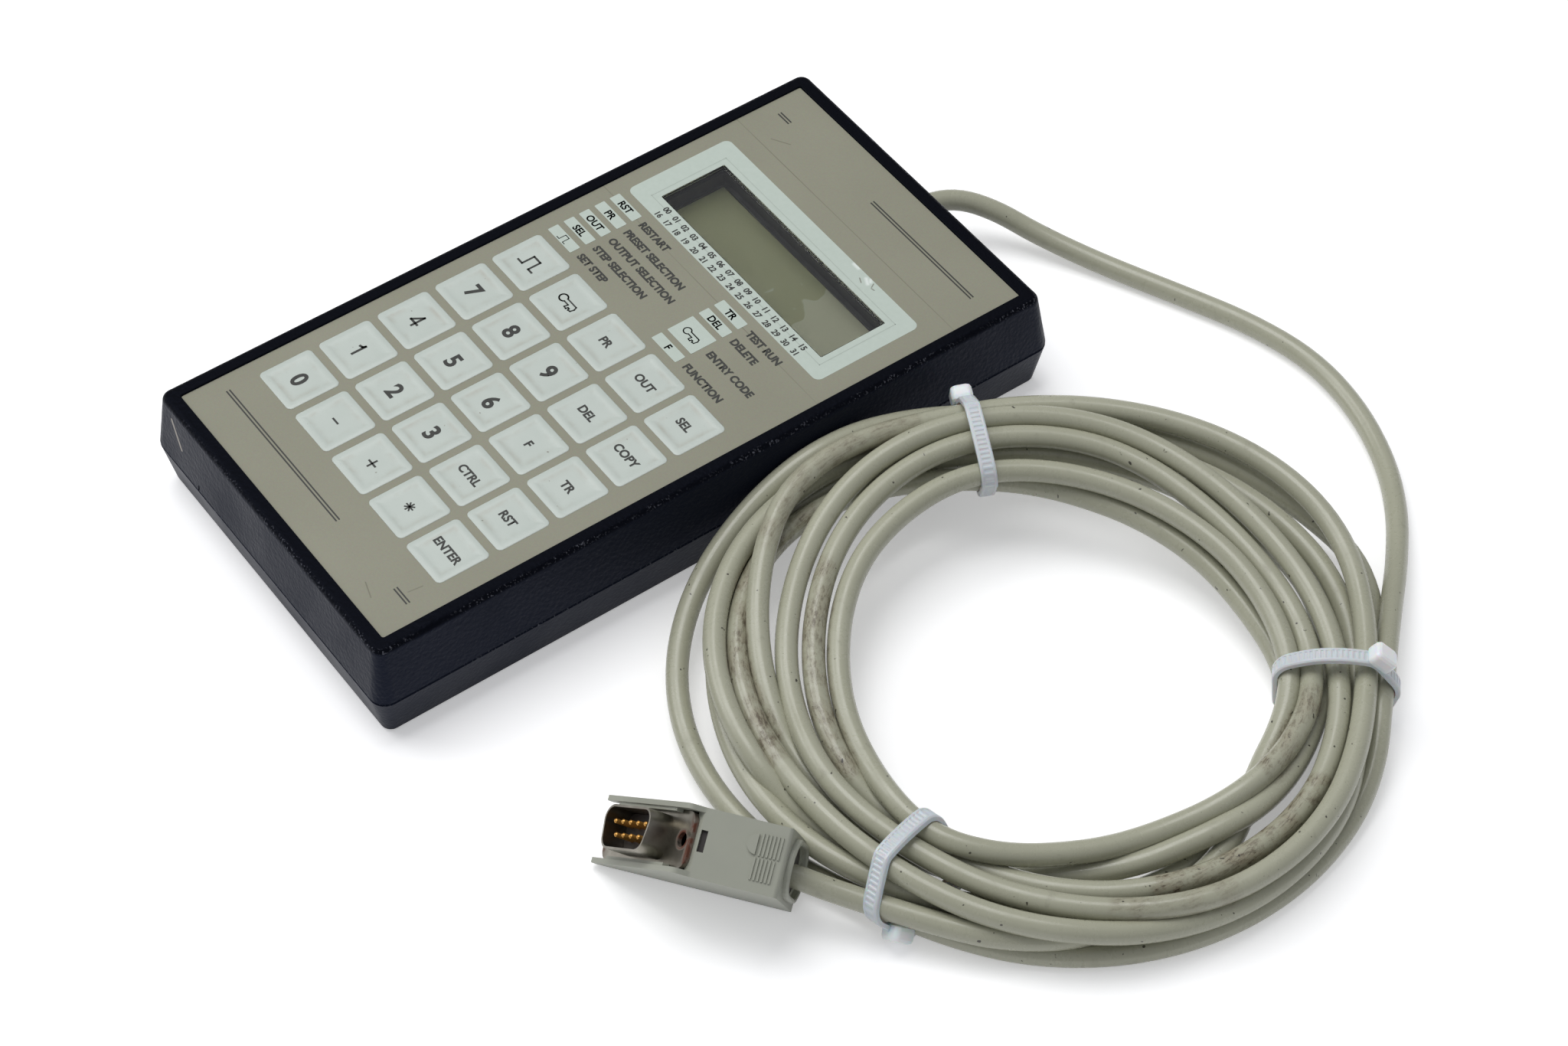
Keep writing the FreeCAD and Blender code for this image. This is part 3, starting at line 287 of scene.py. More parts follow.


# Moulded ABS in black with a leather grain: soft broken highlights, walls painted a lighter blue than the
# rim as painted sheen, and the top fold specked pale by rubbing and by painted glints.
def grained_black_abs(name, colour, sheen_free_rim_colour, grain_height, gouges):
    # The reflections are tinted blue: painted sheen of bluish surroundings.
    material, tree, shader, place = surface(name, colour, 0.44, IOR=1.53, Specular_Tint=linear("#AAB9EA"))
    cells = add(tree, "TexVoronoi", {"Vector": place, "Scale": per(0.9)}, feature="SMOOTH_F1")
    pores = add(tree, "TexNoise", {"Vector": place, "Scale": per(0.5), "Detail": 3.0})
    height = add(tree, "MixRGB", {"Fac": 0.4, "Color1": cells, "Color2": pores})
    bump = add(tree, "Bump", {"Strength": 0.8, "Distance": grain_height * mm, "Height": height})
    cloud = add(tree, "TexNoise", {"Vector": place, "Scale": per(22), "Detail": 4.0})
    dull = add(tree, "MapRange", {"Value": cloud, "From Min": 0.3, "From Max": 0.7, "To Min": 0.36,
                                  "To Max": 0.54})
    # Pale specks follow the fold between the rim and the walls, where the case is held: partly rubbed wear,
    # partly painted glints of the grain.
    lean = add(tree, "SeparateXYZ", {"Vector": add(tree, "NewGeometry").outputs["Normal"]}).outputs["Z"]
    above_wall = add(tree, "MapRange", {"Value": lean, "From Min": 0.25, "From Max": 0.5})
    gloss = add(tree, "MapRange", {"Value": lean, "From Min": 0.25, "From Max": 0.9, "To Min": 0.14,
                                   "To Max": 0.05})
    # The walls take a lighter, bluer colour than the rim that faces up: painted sheen on the walls.
    paint = add(tree, "MixRGB", {"Fac": above_wall, "Color1": linear(colour), "Color2": linear(sheen_free_rim_colour)})
    below_rim = add(tree, "MapRange", {"Value": lean, "From Min": 0.86, "From Max": 0.97, "To Min": 1.0,
                                       "To Max": 0.0})
    specks = add(tree, "TexNoise", {"Vector": place, "Scale": per(0.5), "Detail": 2.0})
    spots = add(tree, "MapRange", {"Value": specks, "From Min": 0.56, "From Max": 0.7})
    patches = add(tree, "MapRange", {"Value": cloud, "From Min": 0.4, "From Max": 0.62})
    wear_and_glints = joined(tree, "MULTIPLY", [above_wall, below_rim, spots, patches])
    paint = add(tree, "MixRGB", {"Fac": wear_and_glints, "Color1": paint, "Color2": linear("#62646C")})
    for start, end in gouges:
        gouge = near_line(tree, place, start, end, 0.12, 0.5)
        paint = add(tree, "MixRGB", {"Fac": gouge, "Color1": paint, "Color2": linear("#A8A196")})
    wire(tree, shader, {"Base Color": paint, "Roughness": dull, "Specular IOR Level": gloss,
                        "Normal": bump})
    return material


# Screen-printed polyester film, matt and beige: a fine tooth that spreads light, handling marks.
def beige_film():
    material, tree, shader, place = surface("printed_beige_polyester", "#8C8B79", 0.5, IOR=1.57,
                                            Specular_IOR_Level=0.35)
    cloud, shade = tones(tree, place, 30, 5.0, "#858472", "#939280")
    fine = add(tree, "TexNoise", {"Vector": place, "Scale": per(0.5), "Detail": 2.0})
    tooth = add(tree, "MixRGB", {"Fac": 0.12, "Color1": shade, "Color2": fine.outputs["Color"]},
                blend_type="SOFT_LIGHT")
    # Two faint creases cross the film above and below the display, painted as dark lines of shade in their
    # folds, and scratches lie by the keys.
    lines = [panel_line(tree, place, crease, 0.03, 0.16) for crease in film_crease_shade]
    lines += [panel_line(tree, place, scratch, 0.022, 0.22) for scratch in film_scratches]
    broken = add(tree, "MapRange", {"Value": cloud, "From Min": 0.35, "From Max": 0.6, "To Min": 0.15,
                                    "To Max": 0.6})
    scratches_and_crease_shade = joined(tree, "MULTIPLY", [joined(tree, "MAXIMUM", lines), broken])
    colour = add(tree, "MixRGB", {"Fac": scratches_and_crease_shade, "Color1": tooth, "Color2": linear("#55503F")})
    bump = add(tree, "Bump", {"Strength": 0.15, "Distance": 0.03 * mm, "Height": fine})
    wire(tree, shader, {"Base Color": colour, "Normal": bump})
    return material


# The keys' film, pale and slightly green, with brown dirt gathered at the foot of the raised rim.
def pale_key_film():
    material, tree, shader, place = surface("embossed_pale_polyester", "#BEC7BF", 0.36, IOR=1.57)
    foot = add(tree, "Attribute", attribute_name="dirt").outputs["Fac"]
    blotch = add(tree, "TexNoise", {"Vector": place, "Scale": per(7.5), "Detail": 6.0, "Roughness": 0.6})
    gathered = add(tree, "MapRange", {"Value": blotch, "From Min": 0.44, "From Max": 0.72, "To Max": 0.62})
    grime = joined(tree, "MULTIPLY", [foot, gathered])
    shade = tones(tree, place, 9, 4.0, "#B7C0B8", "#C5CDC5")[1]
    dirty = add(tree, "MixRGB", {"Fac": grime, "Color1": shade, "Color2": linear("#94866F")})
    colour = specked(tree, place, dirty, 1.4, 0.775, 0.81, 0.7, "#665A48")
    wire(tree, shader, {"Base Color": colour})
    return material


# Screen ink: a thin even coat, flat to the eye, its edge a little uneven in tone.
def screen_ink(name, dark, pale, marks=()):
    material, tree, shader, place = surface(name, dark, 0.5)
    tone = tones(tree, place, 1.4, 3.0, dark, pale)[1]
    for lines, full, none, colour in marks:
        near = [panel_line(tree, place, line, full, none) for line in lines]
        tone = add(tree, "MixRGB", {"Fac": joined(tree, "MAXIMUM", near), "Color1": tone,
                                    "Color2": linear(colour)})
    wire(tree, shader, {"Base Color": tone})
    return material


# Cast acrylic, clear and polished, with faint rub marks that show only in the highlight.
def clear_acrylic():
    material, tree, shader, place = surface("cast_clear_acrylic", "#F4F5EF", 0.04, IOR=1.49,
                                            Transmission_Weight=1.0)
    rubs = add(tree, "TexNoise", {"Vector": place, "Scale": per(3.0), "Detail": 6.0})
    haze = add(tree, "MapRange", {"Value": rubs, "From Min": 0.4, "From Max": 0.8, "To Max": 0.03})
    wire(tree, shader, {"Roughness": haze})
    return material


# The liquid crystal glass: a flat olive reflector, paler to the right of a wandering stain's edge.
def olive_display():
    material, tree, shader, place = surface("olive_display_glass", "#9C9E7E", 0.3, IOR=1.5)
    cloud, shade = tones(tree, place, 13, 2.0, "#979977", "#A0A284")
    across = add(tree, "SeparateXYZ", {"Vector": place}).outputs["X"]
    shift = add(tree, "MapRange", {"Value": cloud, "From Min": 0.3, "From Max": 0.7,
                                   "To Min": -9 * mm, "To Max": 9 * mm})
    wander = joined(tree, "ADD", [across, shift])
    edge = window_high.x - 0.33 * (window_high.x - window_low.x)
    beyond = add(tree, "MapRange", {"Value": wander, "From Min": edge, "From Max": edge + 0.5 * mm})
    colour = add(tree, "MixRGB", {"Fac": beyond, "Color1": shade, "Color2": linear("#B6B7A2")})
    wire(tree, shader, {"Base Color": colour})
    return material


# Extruded PVC jacket, grey-beige and semi-gloss, with black specks and, along some stretches,
# brown smears that run with the cable.
def pvc_jacket(name, stretches):
    material, tree, shader, place = surface(name, "#A9A995", 0.32, IOR=1.53)
    shade = tones(tree, place, 28, 4.0, "#9F9F8A", "#B2B29E")[1]
    smear = add(tree, "TexNoise", {"Vector": place, "Scale": per(5.0), "Detail": 7.0, "Roughness": 0.72})
    dirt = add(tree, "MapRange", {"Value": smear, "From Min": 0.6, "From Max": 0.8, "To Max": 0.35})
    dull = add(tree, "MapRange", {"Value": smear, "From Min": 0.4, "From Max": 0.75, "To Min": 0.23,
                                  "To Max": 0.42})
    if stretches:
        masks = []
        for line, much in stretches:
            near = [near_line(tree, place, a, b, 2.7, 4.0) for a, b in zip(line, line[1:])]
            masks.append(joined(tree, "MULTIPLY", [joined(tree, "MAXIMUM", near), much]))
        # Dirt lies in streaks along the turns: its grain is drawn out round the ring's middle.
        spoke = add(tree, "VectorMath", {0: place, 1: Vector(ring_middle) * mm}, operation="SUBTRACT")
        parts = add(tree, "SeparateXYZ", {"Vector": spoke}).outputs
        turned = joined(tree, "ARCTAN2", [parts["X"], joined(tree, "MULTIPLY", [parts["Y"], -1.0])])
        reach = add(tree, "VectorMath", {0: spoke}, operation="LENGTH")
        round_ring = joined(tree, "MULTIPLY", [turned, dirt_radius * mm / dirt_stretch])
        drawn_out = add(tree, "CombineXYZ", {"X": round_ring, "Y": reach.outputs["Value"], "Z": parts["Z"]})
        grit = add(tree, "TexNoise", {"Vector": drawn_out, "Scale": per(0.9), "Detail": 8.0,
                                      "Roughness": 0.8})
        grains = add(tree, "MapRange", {"Value": grit, "From Min": 0.47, "From Max": 0.57, "To Max": 0.9})
        patches = add(tree, "MapRange", {"Value": smear, "From Min": 0.4, "From Max": 0.58, "To Min": 0.08})
        coat = joined(tree, "MULTIPLY", [joined(tree, "MAXIMUM", masks), patches])
        shade = add(tree, "MixRGB", {"Fac": joined(tree, "MULTIPLY", [coat, 0.5]), "Color1": shade,
                                     "Color2": linear("#82735A")})
        dirt = joined(tree, "MAXIMUM", [dirt, joined(tree, "MULTIPLY", [coat, grains])])
        dull = joined(tree, "MAXIMUM", [dull, joined(tree, "MULTIPLY", [coat, 0.6])])
    dirty = add(tree, "MixRGB", {"Fac": dirt, "Color1": shade, "Color2": linear("#3E2C17")})
    colour = specked(tree, place, dirty, 1.3, 0.75, 0.79, 0.9, "#2B2620")
    wire(tree, shader, {"Base Color": colour, "Roughness": dull})
    return material


# Any plain moulding, plating or sheet: one colour with the light mottling of its making.
def mottled(name, dark, pale, size_mm, roughness, **sockets):
    material, tree, shader, place = surface(name, dark, roughness, **sockets)
    cloud, tone = tones(tree, place, size_mm, 4.0, dark, pale)
    bump = add(tree, "Bump", {"Strength": 0.1, "Distance": 0.05 * mm, "Height": cloud})
    wire(tree, shader, {"Base Color": tone, "Normal": bump})
    return material


# Drawn steel with dull nickel on it, stained, and rusted along the flange's end and round its hole.
def rusty_nickel():
    material, tree, shader, place = surface("drawn_nickel_steel", "#8D897F", 0.34, Metallic=1.0)
    stain, plate = tones(tree, place, 3.0, 6.0, "#6D685E", "#ABA79C")
    rims = []
    half = plug_flange[1] / 2
    for end in (-1, 1):
        edge, hole = end * plug_flange[0] / 2, end * plug_hole_spacing / 2
        for start, stop, full, none in (((edge, -half, 0), (edge, half, 0), 0.5, 1.5),
                                        ((hole, 0, 0), (hole, 0, -1), 1.8, 2.4)):
            ends = [plug_place @ Vector(point) for point in (start, stop)]
            rims.append(near_line(tree, place, *ends, full, none))
    eaten = add(tree, "MapRange", {"Value": stain, "From Min": 0.36, "From Max": 0.52})
    rust = joined(tree, "MULTIPLY", [joined(tree, "MAXIMUM", rims), eaten])
    colour = add(tree, "MixRGB", {"Fac": rust, "Color1": plate, "Color2": linear("#5B3220")})
    bare = add(tree, "MapRange", {"Value": rust, "To Min": 1.0, "To Max": 0.0})
    dull = add(tree, "MapRange", {"Value": rust, "To Min": 0.32, "To Max": 0.8})
    wire(tree, shader, {"Base Color": colour, "Metallic": bare, "Roughness": dull})
    return material


# The top shell's walls are painted lighter and bluer than its rim as painted sheen; the base keeps one
# colour.
top_abs = grained_black_abs("grained_black_abs_top", "#10141F", "#08090D", 0.2, [case_gouge])
base_abs = grained_black_abs("grained_black_abs_base", "#171B26", "#171B26", 0.12, [])
film_print = beige_film()
key_film = pale_key_film()
dark_ink = screen_ink("dark_screen_ink", "#262724", "#33342F")
white_ink = screen_ink("white_screen_ink", "#B6C2B7", "#C0CBC1",
                       [(frame_scuffs, 0.07, 0.7, "#DDE4DE"), (frame_cuts, 0.022, 0.22, "#77756A")])
# The window's step is a line a little darker than the white frame: painted shade where the film rises over
# the window's edge.
step_painted_shade = screen_ink("embossed_step_painted_shade", "#A6B1A6", "#B0BAB0")
acrylic = clear_acrylic()
display_olive = olive_display()
jacket = pvc_jacket("extruded_beige_pvc", [])
hood_abs = mottled("moulded_grey_beige_abs", "#94968A", "#A2A495", 12, 0.46, IOR=1.53)
tie_nylon = mottled("moulded_natural_nylon", "#E0E6EA", "#EAEEF1", 6, 0.3, IOR=1.53,
                    Transmission_Weight=0.25, Subsurface_Weight=0.4, Subsurface_Scale=0.002)
# The ties' heads wear a whiter copy of the strap's nylon: painted light.
head_nylon_painted_light = mottled("natural_nylon_head_painted_light", "#F0F3F5", "#F6F8F9", 6, 0.3, IOR=1.53,
                      Subsurface_Weight=0.5, Subsurface_Scale=0.003)
shell_nickel = rusty_nickel()
pin_gold = mottled("flashed_gold_pin", "#B98238", "#D6A658", 1.0, 0.36, Metallic=0.6)
# This dark polyester also stands as painted shade in the plug's mouth and in the hood's slot.
dark_insulator_and_shade = mottled("moulded_dark_polyester_and_painted_shade", "#221D1A", "#2D2622", 3, 0.5, IOR=1.57)
rubber = mottled("moulded_black_rubber", "#26272B", "#2A2B2E", 1.5, 0.62, IOR=1.52)
bezel_black = mottled("painted_black_steel", "#2D2F33", "#323438", 6, 0.45)
board_green = mottled("lacquered_green_board", "#1F4A33", "#2A5A3E", 6, 0.4, IOR=1.55)
chip_black = mottled("moulded_black_epoxy", "#18181A", "#222225", 1.2, 0.6, IOR=1.55)
can_metal = mottled("drawn_aluminium_can", "#A5A7A9", "#B8BABC", 1.5, 0.3, Metallic=1.0)
spring_steel = mottled("stamped_spring_steel", "#9A9B9C", "#B0B1B1", 1.5, 0.3, Metallic=1.0)
screw_steel = mottled("zinc_plated_steel", "#8E9193", "#A9ACAD", 0.8, 0.35, Metallic=1.0)
clear_film = mottled("milky_polyester_film", "#BFC2BD", "#CDD0CB", 8, 0.4, IOR=1.57)

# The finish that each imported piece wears. The keys' nodes, which are left, take the keys' film.
nodes_of_finish = [
    (top_abs, "top_shell"), (base_abs, "bottom_shell"), (film_print, "front_film"),
    (clear_film, "spacer_layer circuit_layer keypad_tail"), (spring_steel, "snap_domes"),
    (acrylic, "display_window"), (rubber, "display_gasket cable_bush"), (bezel_black, "display_bezel"),
    (display_olive, "display_glass"), (board_green, "display_board main_board"),
    (screw_steel, "case_screws display_screws board_screws cable_clamp plug_clamp"),
    (chip_black, "chips headers"), (can_metal, "board_parts"),
    (jacket, "cable_leads cable_inner_end cable_tail cable_coil cable_lead"),
    (hood_abs, "plug_hood plug_cover"), (shell_nickel, "plug_shell"), (dark_insulator_and_shade, "plug_insulator"),
    (pin_gold, "plug_pins"), (tie_nylon, "tie_bottom tie_right tie_top"),
]
finish_of_node = {name: finish for finish, names in nodes_of_finish for name in names.split()}
for name, node in nodes.items():
    node.data.materials.clear()
    node.data.materials.append(finish_of_node.get(name, key_film))


def placed(name, data):
    """A new object in the scene."""
    made = bpy.data.objects.new(name, data)
    scene.collection.objects.link(made)
    return made


def piece(name, shape, material, rides_on):
    """A piece of the part, from a curve or built faces, that rides on a body."""
    if isinstance(shape, bmesh.types.BMesh):
        shape = solid(name, shape)
    made = placed(name, shape)
    shape.materials.append(material)
    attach(made, rides_on)
    return made


def solid(name, bm):
    """A mesh from built faces, with its normals turned outwards."""
    bmesh.ops.recalc_face_normals(bm, faces=bm.faces)
    shape = bpy.data.meshes.new(name)
    bm.to_mesh(shape)
    bm.free()
    return shape


def rounded_loop(half_x, half_y, corner, steps=6):
    """The points of a rectangle with rounded corners about the origin."""
    points = []
    for quarter, (sx, sy) in enumerate([(1, 1), (-1, 1), (-1, -1), (1, -1)]):
        for step in range(steps + 1):
            turn = math.radians(90 * (quarter + step / steps))
            points.append((sx * (half_x - corner) + corner * math.cos(turn),
                           sy * (half_y - corner) + corner * math.sin(turn)))
    return points


def front_loop(bm, low, high, corner, stand=ink_stand, reach=0, steps=6):
    """Adds points on the front, round a block that reaches past two places, its corners rounded."""
    x, y = (low[0] + high[0]) / 2, (low[1] + high[1]) / 2
    loop = rounded_loop((high[0] - low[0]) / 2 + reach, (high[1] - low[1]) / 2 + reach, corner, steps)
    return [bm.verts.new((x + across, y + up, film_top + stand)) for across, up in loop]


def skin(bm, rings, ends=False):
    """Closes the walls between each ring of points and the next, and the ends if asked. Gives the faces."""
    faces = []
    for ring, after in zip(rings, rings[1:]):
        fours = zip(ring, ring[1:] + ring[:1], after[1:] + after[:1], after)
        faces += [bm.faces.new(four) for four in fours]
    if ends:
        faces += [bm.faces.new(rings[0]), bm.faces.new(rings[-1])]
    return faces


# The cable: tail, the turns of the tied ring and the lead into the plug, one smooth line.
def case_wall(height):
    """Half the case's width at a height, in mm, with both shells leaning in from their joint."""
    above = height - shell_joint
    return case_half_width - np.where(above > 0, top_lean * above, -base_lean * above)


def coil_line():
    """The ring's points in mm. Strands that would share a place are parted along the line of sight."""
    turn_angles, seen, level = [], [], []
    for turn, (radii, levels) in enumerate(coil_turns):
        turn_angles += [360 * turn - angle for angle in station_angles[:len(radii)]]
        seen += radii
        level += levels
    grid = np.arange(coil_start, turn_angles[-1] - coil_end, coil_step)
    seen = np.interp(grid, turn_angles, seen)
    level = np.interp(grid, turn_angles, level)
    a = np.radians(-grid)
    rise = ring_slope * np.cos(a - math.radians(ring_high_side))
    outward = sight_shift[0] * np.cos(a) + sight_shift[1] * np.sin(a)
    first_seen, first_level = seen.copy(), level.copy()
    # A strap passes under the strands at each tie and holds them that much off the floor.
    lowest = np.full(len(grid), cable_diameter / 2 + strand_room)
    for tie_angle in tie_angles:
        away = (-grid - tie_angle + 180) % 360 - 180
        lowest += (strap_thick + strap_room) * np.exp(-(away / lift_reach) ** 2)
    per_turn = int(round(360 / coil_step))
    for _ in range(settle_sweeps):
        for apart in range(per_turn, len(grid), per_turn):
            across = (seen + outward * level)[apart:] - (seen + outward * level)[:-apart]
            up = (rise * seen + level)[apart:] - (rise * seen + level)[:-apart]
            gap = np.maximum(np.hypot(across, up), 0.1)
            overlap = np.clip(cable_diameter + strand_room - gap, 0, None)
            in_front = np.where(across * outward[apart:] + up < 0, -1.0, 1.0)
            level[apart:] += part_up * overlap * in_front
            level[:-apart] -= part_up * overlap * in_front
            aside = part_aside * overlap * np.sign(seen[apart:] - seen[:-apart])
            seen[apart:] += aside
            seen[:-apart] -= aside
        for line, share in ((seen, smooth_seen), (level, smooth_level)):
            line[1:-1] += share * (line[:-2] + line[2:] - 2 * line[1:-1])
        seen += hold_seen * (first_seen - seen)
        level += hold_level * (first_level - level)
        height = ring_middle[2] + rise * seen + level
        level += np.clip(lowest - height, 0, None)
        x = ring_middle[0] + seen * np.cos(a) + level * sight_shift[0]
        level += clear_wall * np.clip(case_wall(height) + cable_diameter / 2 + strap_room - x, 0, None)
    return np.column_stack([ring_middle[0] + seen * np.cos(a) + level * sight_shift[0],
                            ring_middle[1] + seen * np.sin(a) + level * sight_shift[1],
                            ring_middle[2] + rise * seen + level])


coil = coil_line()
cable_points = tail_route + [tuple(point) for point in coil] + lead_route
dirty_lines = []
for turn, start, end, much in dirty_stretches:
    first, last = [int(round((360 * turn - angle - coil_start) / coil_step)) for angle in (start, end)]
    dirty_lines.append(([tuple(coil[i]) for i in range(first, last + 1, 2)], much))
dirty_jacket = pvc_jacket("extruded_beige_pvc_soiled", dirty_lines)
cable_curve = bpy.data.curves.new("data_cable", "CURVE")
cable_curve.dimensions = "3D"
cable_curve.bevel_depth = cable_diameter / 2 * mm
cable_curve.bevel_resolution = 6
cable_curve.resolution_u = 5
cable_curve.use_fill_caps = True
cable_line = cable_curve.splines.new("NURBS")
cable_line.points.add(len(cable_points) - 1)
for point, place in zip(cable_line.points, cable_points):
    point.co = [c * mm for c in place] + [1.0]
cable_line.order_u = 3
cable_line.use_endpoint_u = True
data_cable = piece("data_cable", cable_curve, dirty_jacket, body)
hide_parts("cable_tail", "cable_coil", "cable_lead")

# The ties: each strap is drawn round its strands, with a ladder of teeth outside. In mm: its width, its
# room round a strand and over the floor, how far out a strand can lie, and its teeth, which are cut by a
# share of its thickness.
strap_width = 3.5
strap_slack = 0.12
floor_room = 0.05
bundle_reach = 18
tooth_pitch = 1.1
tooth_depth = 0.13
tooth_steps = 4
# The head of a tie: half its width and length, its corners, how deep it sits in the strap's thickness,
# and its outline's inset at each height.
head_half = (2.5, 2.9)
head_corner = 1.2
head_sink = 0.4
head_layers = [(0.0, 0.6), (0.4, 0.1), (1.2, 0.0), (2.8, 0.05), (3.4, 0.3), (3.7, 0.8)]


def strands_at(middle, out, up, normal):
    """Where the cable crosses a strap's plane: outwards and upwards from the plane's middle."""
    from_middle = np.array(cable_points) - np.array(middle)
    side = from_middle @ normal
    found = []
    for i in range(len(side) - 1):
        if side[i] * side[i + 1] <= 0 and abs(from_middle[i] @ out) < bundle_reach:
            share = side[i] / (side[i] - side[i + 1])
            here = from_middle[i] + share * (from_middle[i + 1] - from_middle[i])
            found.append((here @ out, here @ up))
    return found


def hull(points):
    """The tight outline round points, anticlockwise."""
    def side(o, a, b):
        return (a[0] - o[0]) * (b[1] - o[1]) - (a[1] - o[1]) * (b[0] - o[0])
    ordered = sorted(set(points))
    outline = []
    for run in (ordered, ordered[::-1]):
        chain = []
        for p in run:
            while len(chain) > 1 and side(chain[-2], chain[-1], p) <= 0:
                chain.pop()
            chain.append(p)
        outline += chain[:-1]
    return outline


def arched(outline, stand_off):
    """The outline with its upper side drawn up into an arch between its left and right ends."""
    left, right = min(outline), max(outline)
    slope = (right[1] - left[1]) / (right[0] - left[0])
    upper = sorted(p for p in outline if p[1] >= left[1] + slope * (p[0] - left[0]))
    at = np.linspace(left[0], right[0], 60)
    share = 1 - (2 * (at - left[0]) / (right[0] - left[0]) - 1) ** 2
    top = np.interp(at, *np.transpose(upper)) + stand_off * share
    return hull(outline + list(zip(at, top)))


def tooth_line(outline):
    """Points along a closed outline, some for each tooth, and the outward direction at each."""
    closed = np.array(outline + outline[:1])
    lengths = np.concatenate([[0], np.cumsum(np.hypot(*np.diff(closed, axis=0).T))])
    count = int(round(lengths[-1] / tooth_pitch)) * tooth_steps
    at = np.linspace(0, lengths[-1], count, endpoint=False)
    line = np.column_stack([np.interp(at, lengths, closed[:, k]) for k in (0, 1)])
    ahead = np.roll(line, -1, axis=0) - np.roll(line, 1, axis=0)
    ahead /= np.hypot(*ahead.T)[:, None]
    return line, np.column_stack([ahead[:, 1], -ahead[:, 0]])


def cable_tie(name, middle, out_angle, lean, head_turn, stand_off):
    """A strap with teeth round the bundle and its head on it, as one mesh."""
    turn = math.radians(out_angle)
    out = Vector((math.cos(turn), math.sin(turn), 0))
    along = Vector((-out.y, out.x, 0))
    tilt = math.radians(lean)
    normal = along * math.cos(tilt) + Vector((0, 0, math.sin(tilt)))
    up = Vector((0, 0, math.cos(tilt))) - along * math.sin(tilt)
    middle = Vector(middle)
    strands = strands_at(middle, np.array(out), np.array(up), np.array(normal))
    around = np.linspace(0, 2 * math.pi, 28, endpoint=False)
    reach = cable_diameter / 2 + strap_slack
    rim = [(r + reach * math.cos(t), h + reach * math.sin(t)) for r, h in strands for t in around]
    line, outward = tooth_line(arched(hull(rim), stand_off))
    bm = bmesh.new()
    rows = []
    for i, ((r, h), (nr, nh)) in enumerate(zip(line, outward)):
        # Across in widths and outwards in thicknesses: two rails, with teeth and gaps between them.
        cut = 1.0 if i % tooth_steps < tooth_steps / 2 else 1.0 - tooth_depth
        section = [(-0.5, 0), (-0.5, 0.8), (-0.42, 1.0), (-0.3, 1.0), (-0.28, cut),
                   (0.28, cut), (0.3, 1.0), (0.42, 1.0), (0.5, 0.8), (0.5, 0)]
        row = []
        for across, depth in section:
            place = (middle + out * (r + nr * depth * strap_thick) + up * (h + nh * depth * strap_thick)
                     + along * across * strap_width)
            place.z = max(place.z, floor_room)
            row.append(bm.verts.new(place * mm))
        rows.append(row)
    strap_faces = len(skin(bm, rows + rows[:1]))
    # The head: a rounded block that sits on the strap, given a whiter copy of the strap's nylon: painted
    # light for its brighter look.
    turn = math.radians(head_turn)
    facing = np.array([math.cos(turn), math.sin(turn)])
    seat = line[int(np.argmax(line @ facing))] + facing * strap_thick * head_sink
    outwards = out * facing[0] + up * facing[1]
    run = normal.cross(outwards)
    places = []
    for height, inset in head_layers:
        loop = rounded_loop(head_half[0] - inset, head_half[1] - inset, head_corner - inset / 2)
        places.append([middle + out * seat[0] + up * seat[1] + normal * a + run * b + outwards * height
                       for a, b in loop])
    lowest = min(place.z for ring in places for place in ring)
    lift = Vector((0, 0, max(2 * floor_room - lowest, 0)))
    rings = [[bm.verts.new((place + lift) * mm) for place in ring] for ring in places]
    skin(bm, rings, ends=True)
    made = piece(name + "_strap", bm, tie_nylon, body)
    # The head's faces take the whiter nylon: painted light.
    made.data.materials.append(head_nylon_painted_light)
    for face in made.data.polygons[strap_faces:]:
        face.material_index = 1
    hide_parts(name)
    return made


ties = [cable_tie(name, *places) for name, places in tie_places.items()]

# The plug's mouth: an oval collar round the cable, in mm out along the hood and half across it.
# Its flat inner end is painted dark: painted shade for the deep bore.
mouth_layers = [(19.6, 6.2, 8.9), (20.7, 6.2, 8.9), (21.1, 6.0, 8.7), (21.2, 5.7, 8.4), (21.1, 5.3, 8.0),
                (20.8, 5.1, 7.8), (19.75, 5.0, 7.7)]
mouth_flat = 0.4
bm = bmesh.new()
rings = []
for out, across, up in mouth_layers:
    loop = rounded_loop(across, up, across - mouth_flat)
    rings.append([bm.verts.new(hood_place @ Vector((out, a, b)) * mm) for a, b in loop])
skin(bm, rings, ends=True)
plug_mouth = piece("plug_mouth", bm, hood_abs, body)
plug_mouth.data.materials.append(dark_insulator_and_shade)
# The inner end takes the dark material as painted shade.
plug_mouth.data.polygons[-1].material_index = 1

# A dark sheet lies on the floor of the hood's slot: painted shade for a slot deeper than its cut. Middle
# and size in mm.
slot_middle = Vector((2.45, 0.4, 10.04))
slot_size = (1.36, 4.46, 0.06)
bm = bmesh.new()
bmesh.ops.create_cube(bm, size=1.0, matrix=Matrix.Diagonal((*slot_size, 1)))
for corner in bm.verts:
    corner.co = hood_place @ (corner.co + slot_middle) * mm
# The sheet is painted shade, dark in the slot.
slot_shade_sheet = piece("slot_shade_sheet", bm, dark_insulator_and_shade, body)


# The keys: an embossed square with a raised rim that slopes to a sunken middle.
def key_shape(low, high):
    """One key's faces from rings of its profile, with the dirt's place kept at each point."""
    bm = bmesh.new()
    dirt = bm.verts.layers.float.new("dirt")
    rings = []
    for inset, rise, soil in key_profile:
        corner = max(key_corner - corner_share * inset * mm, least_corner)
        rings.append(front_loop(bm, low, high, corner, rise * mm, -inset * mm))
        for v in rings[-1]:
            v[dirt] = soil
    for face in skin(bm, rings) + [bm.faces.new(rings[-1])]:
        face.smooth = True
    bm.faces.new(rings[0][::-1])
    return bm


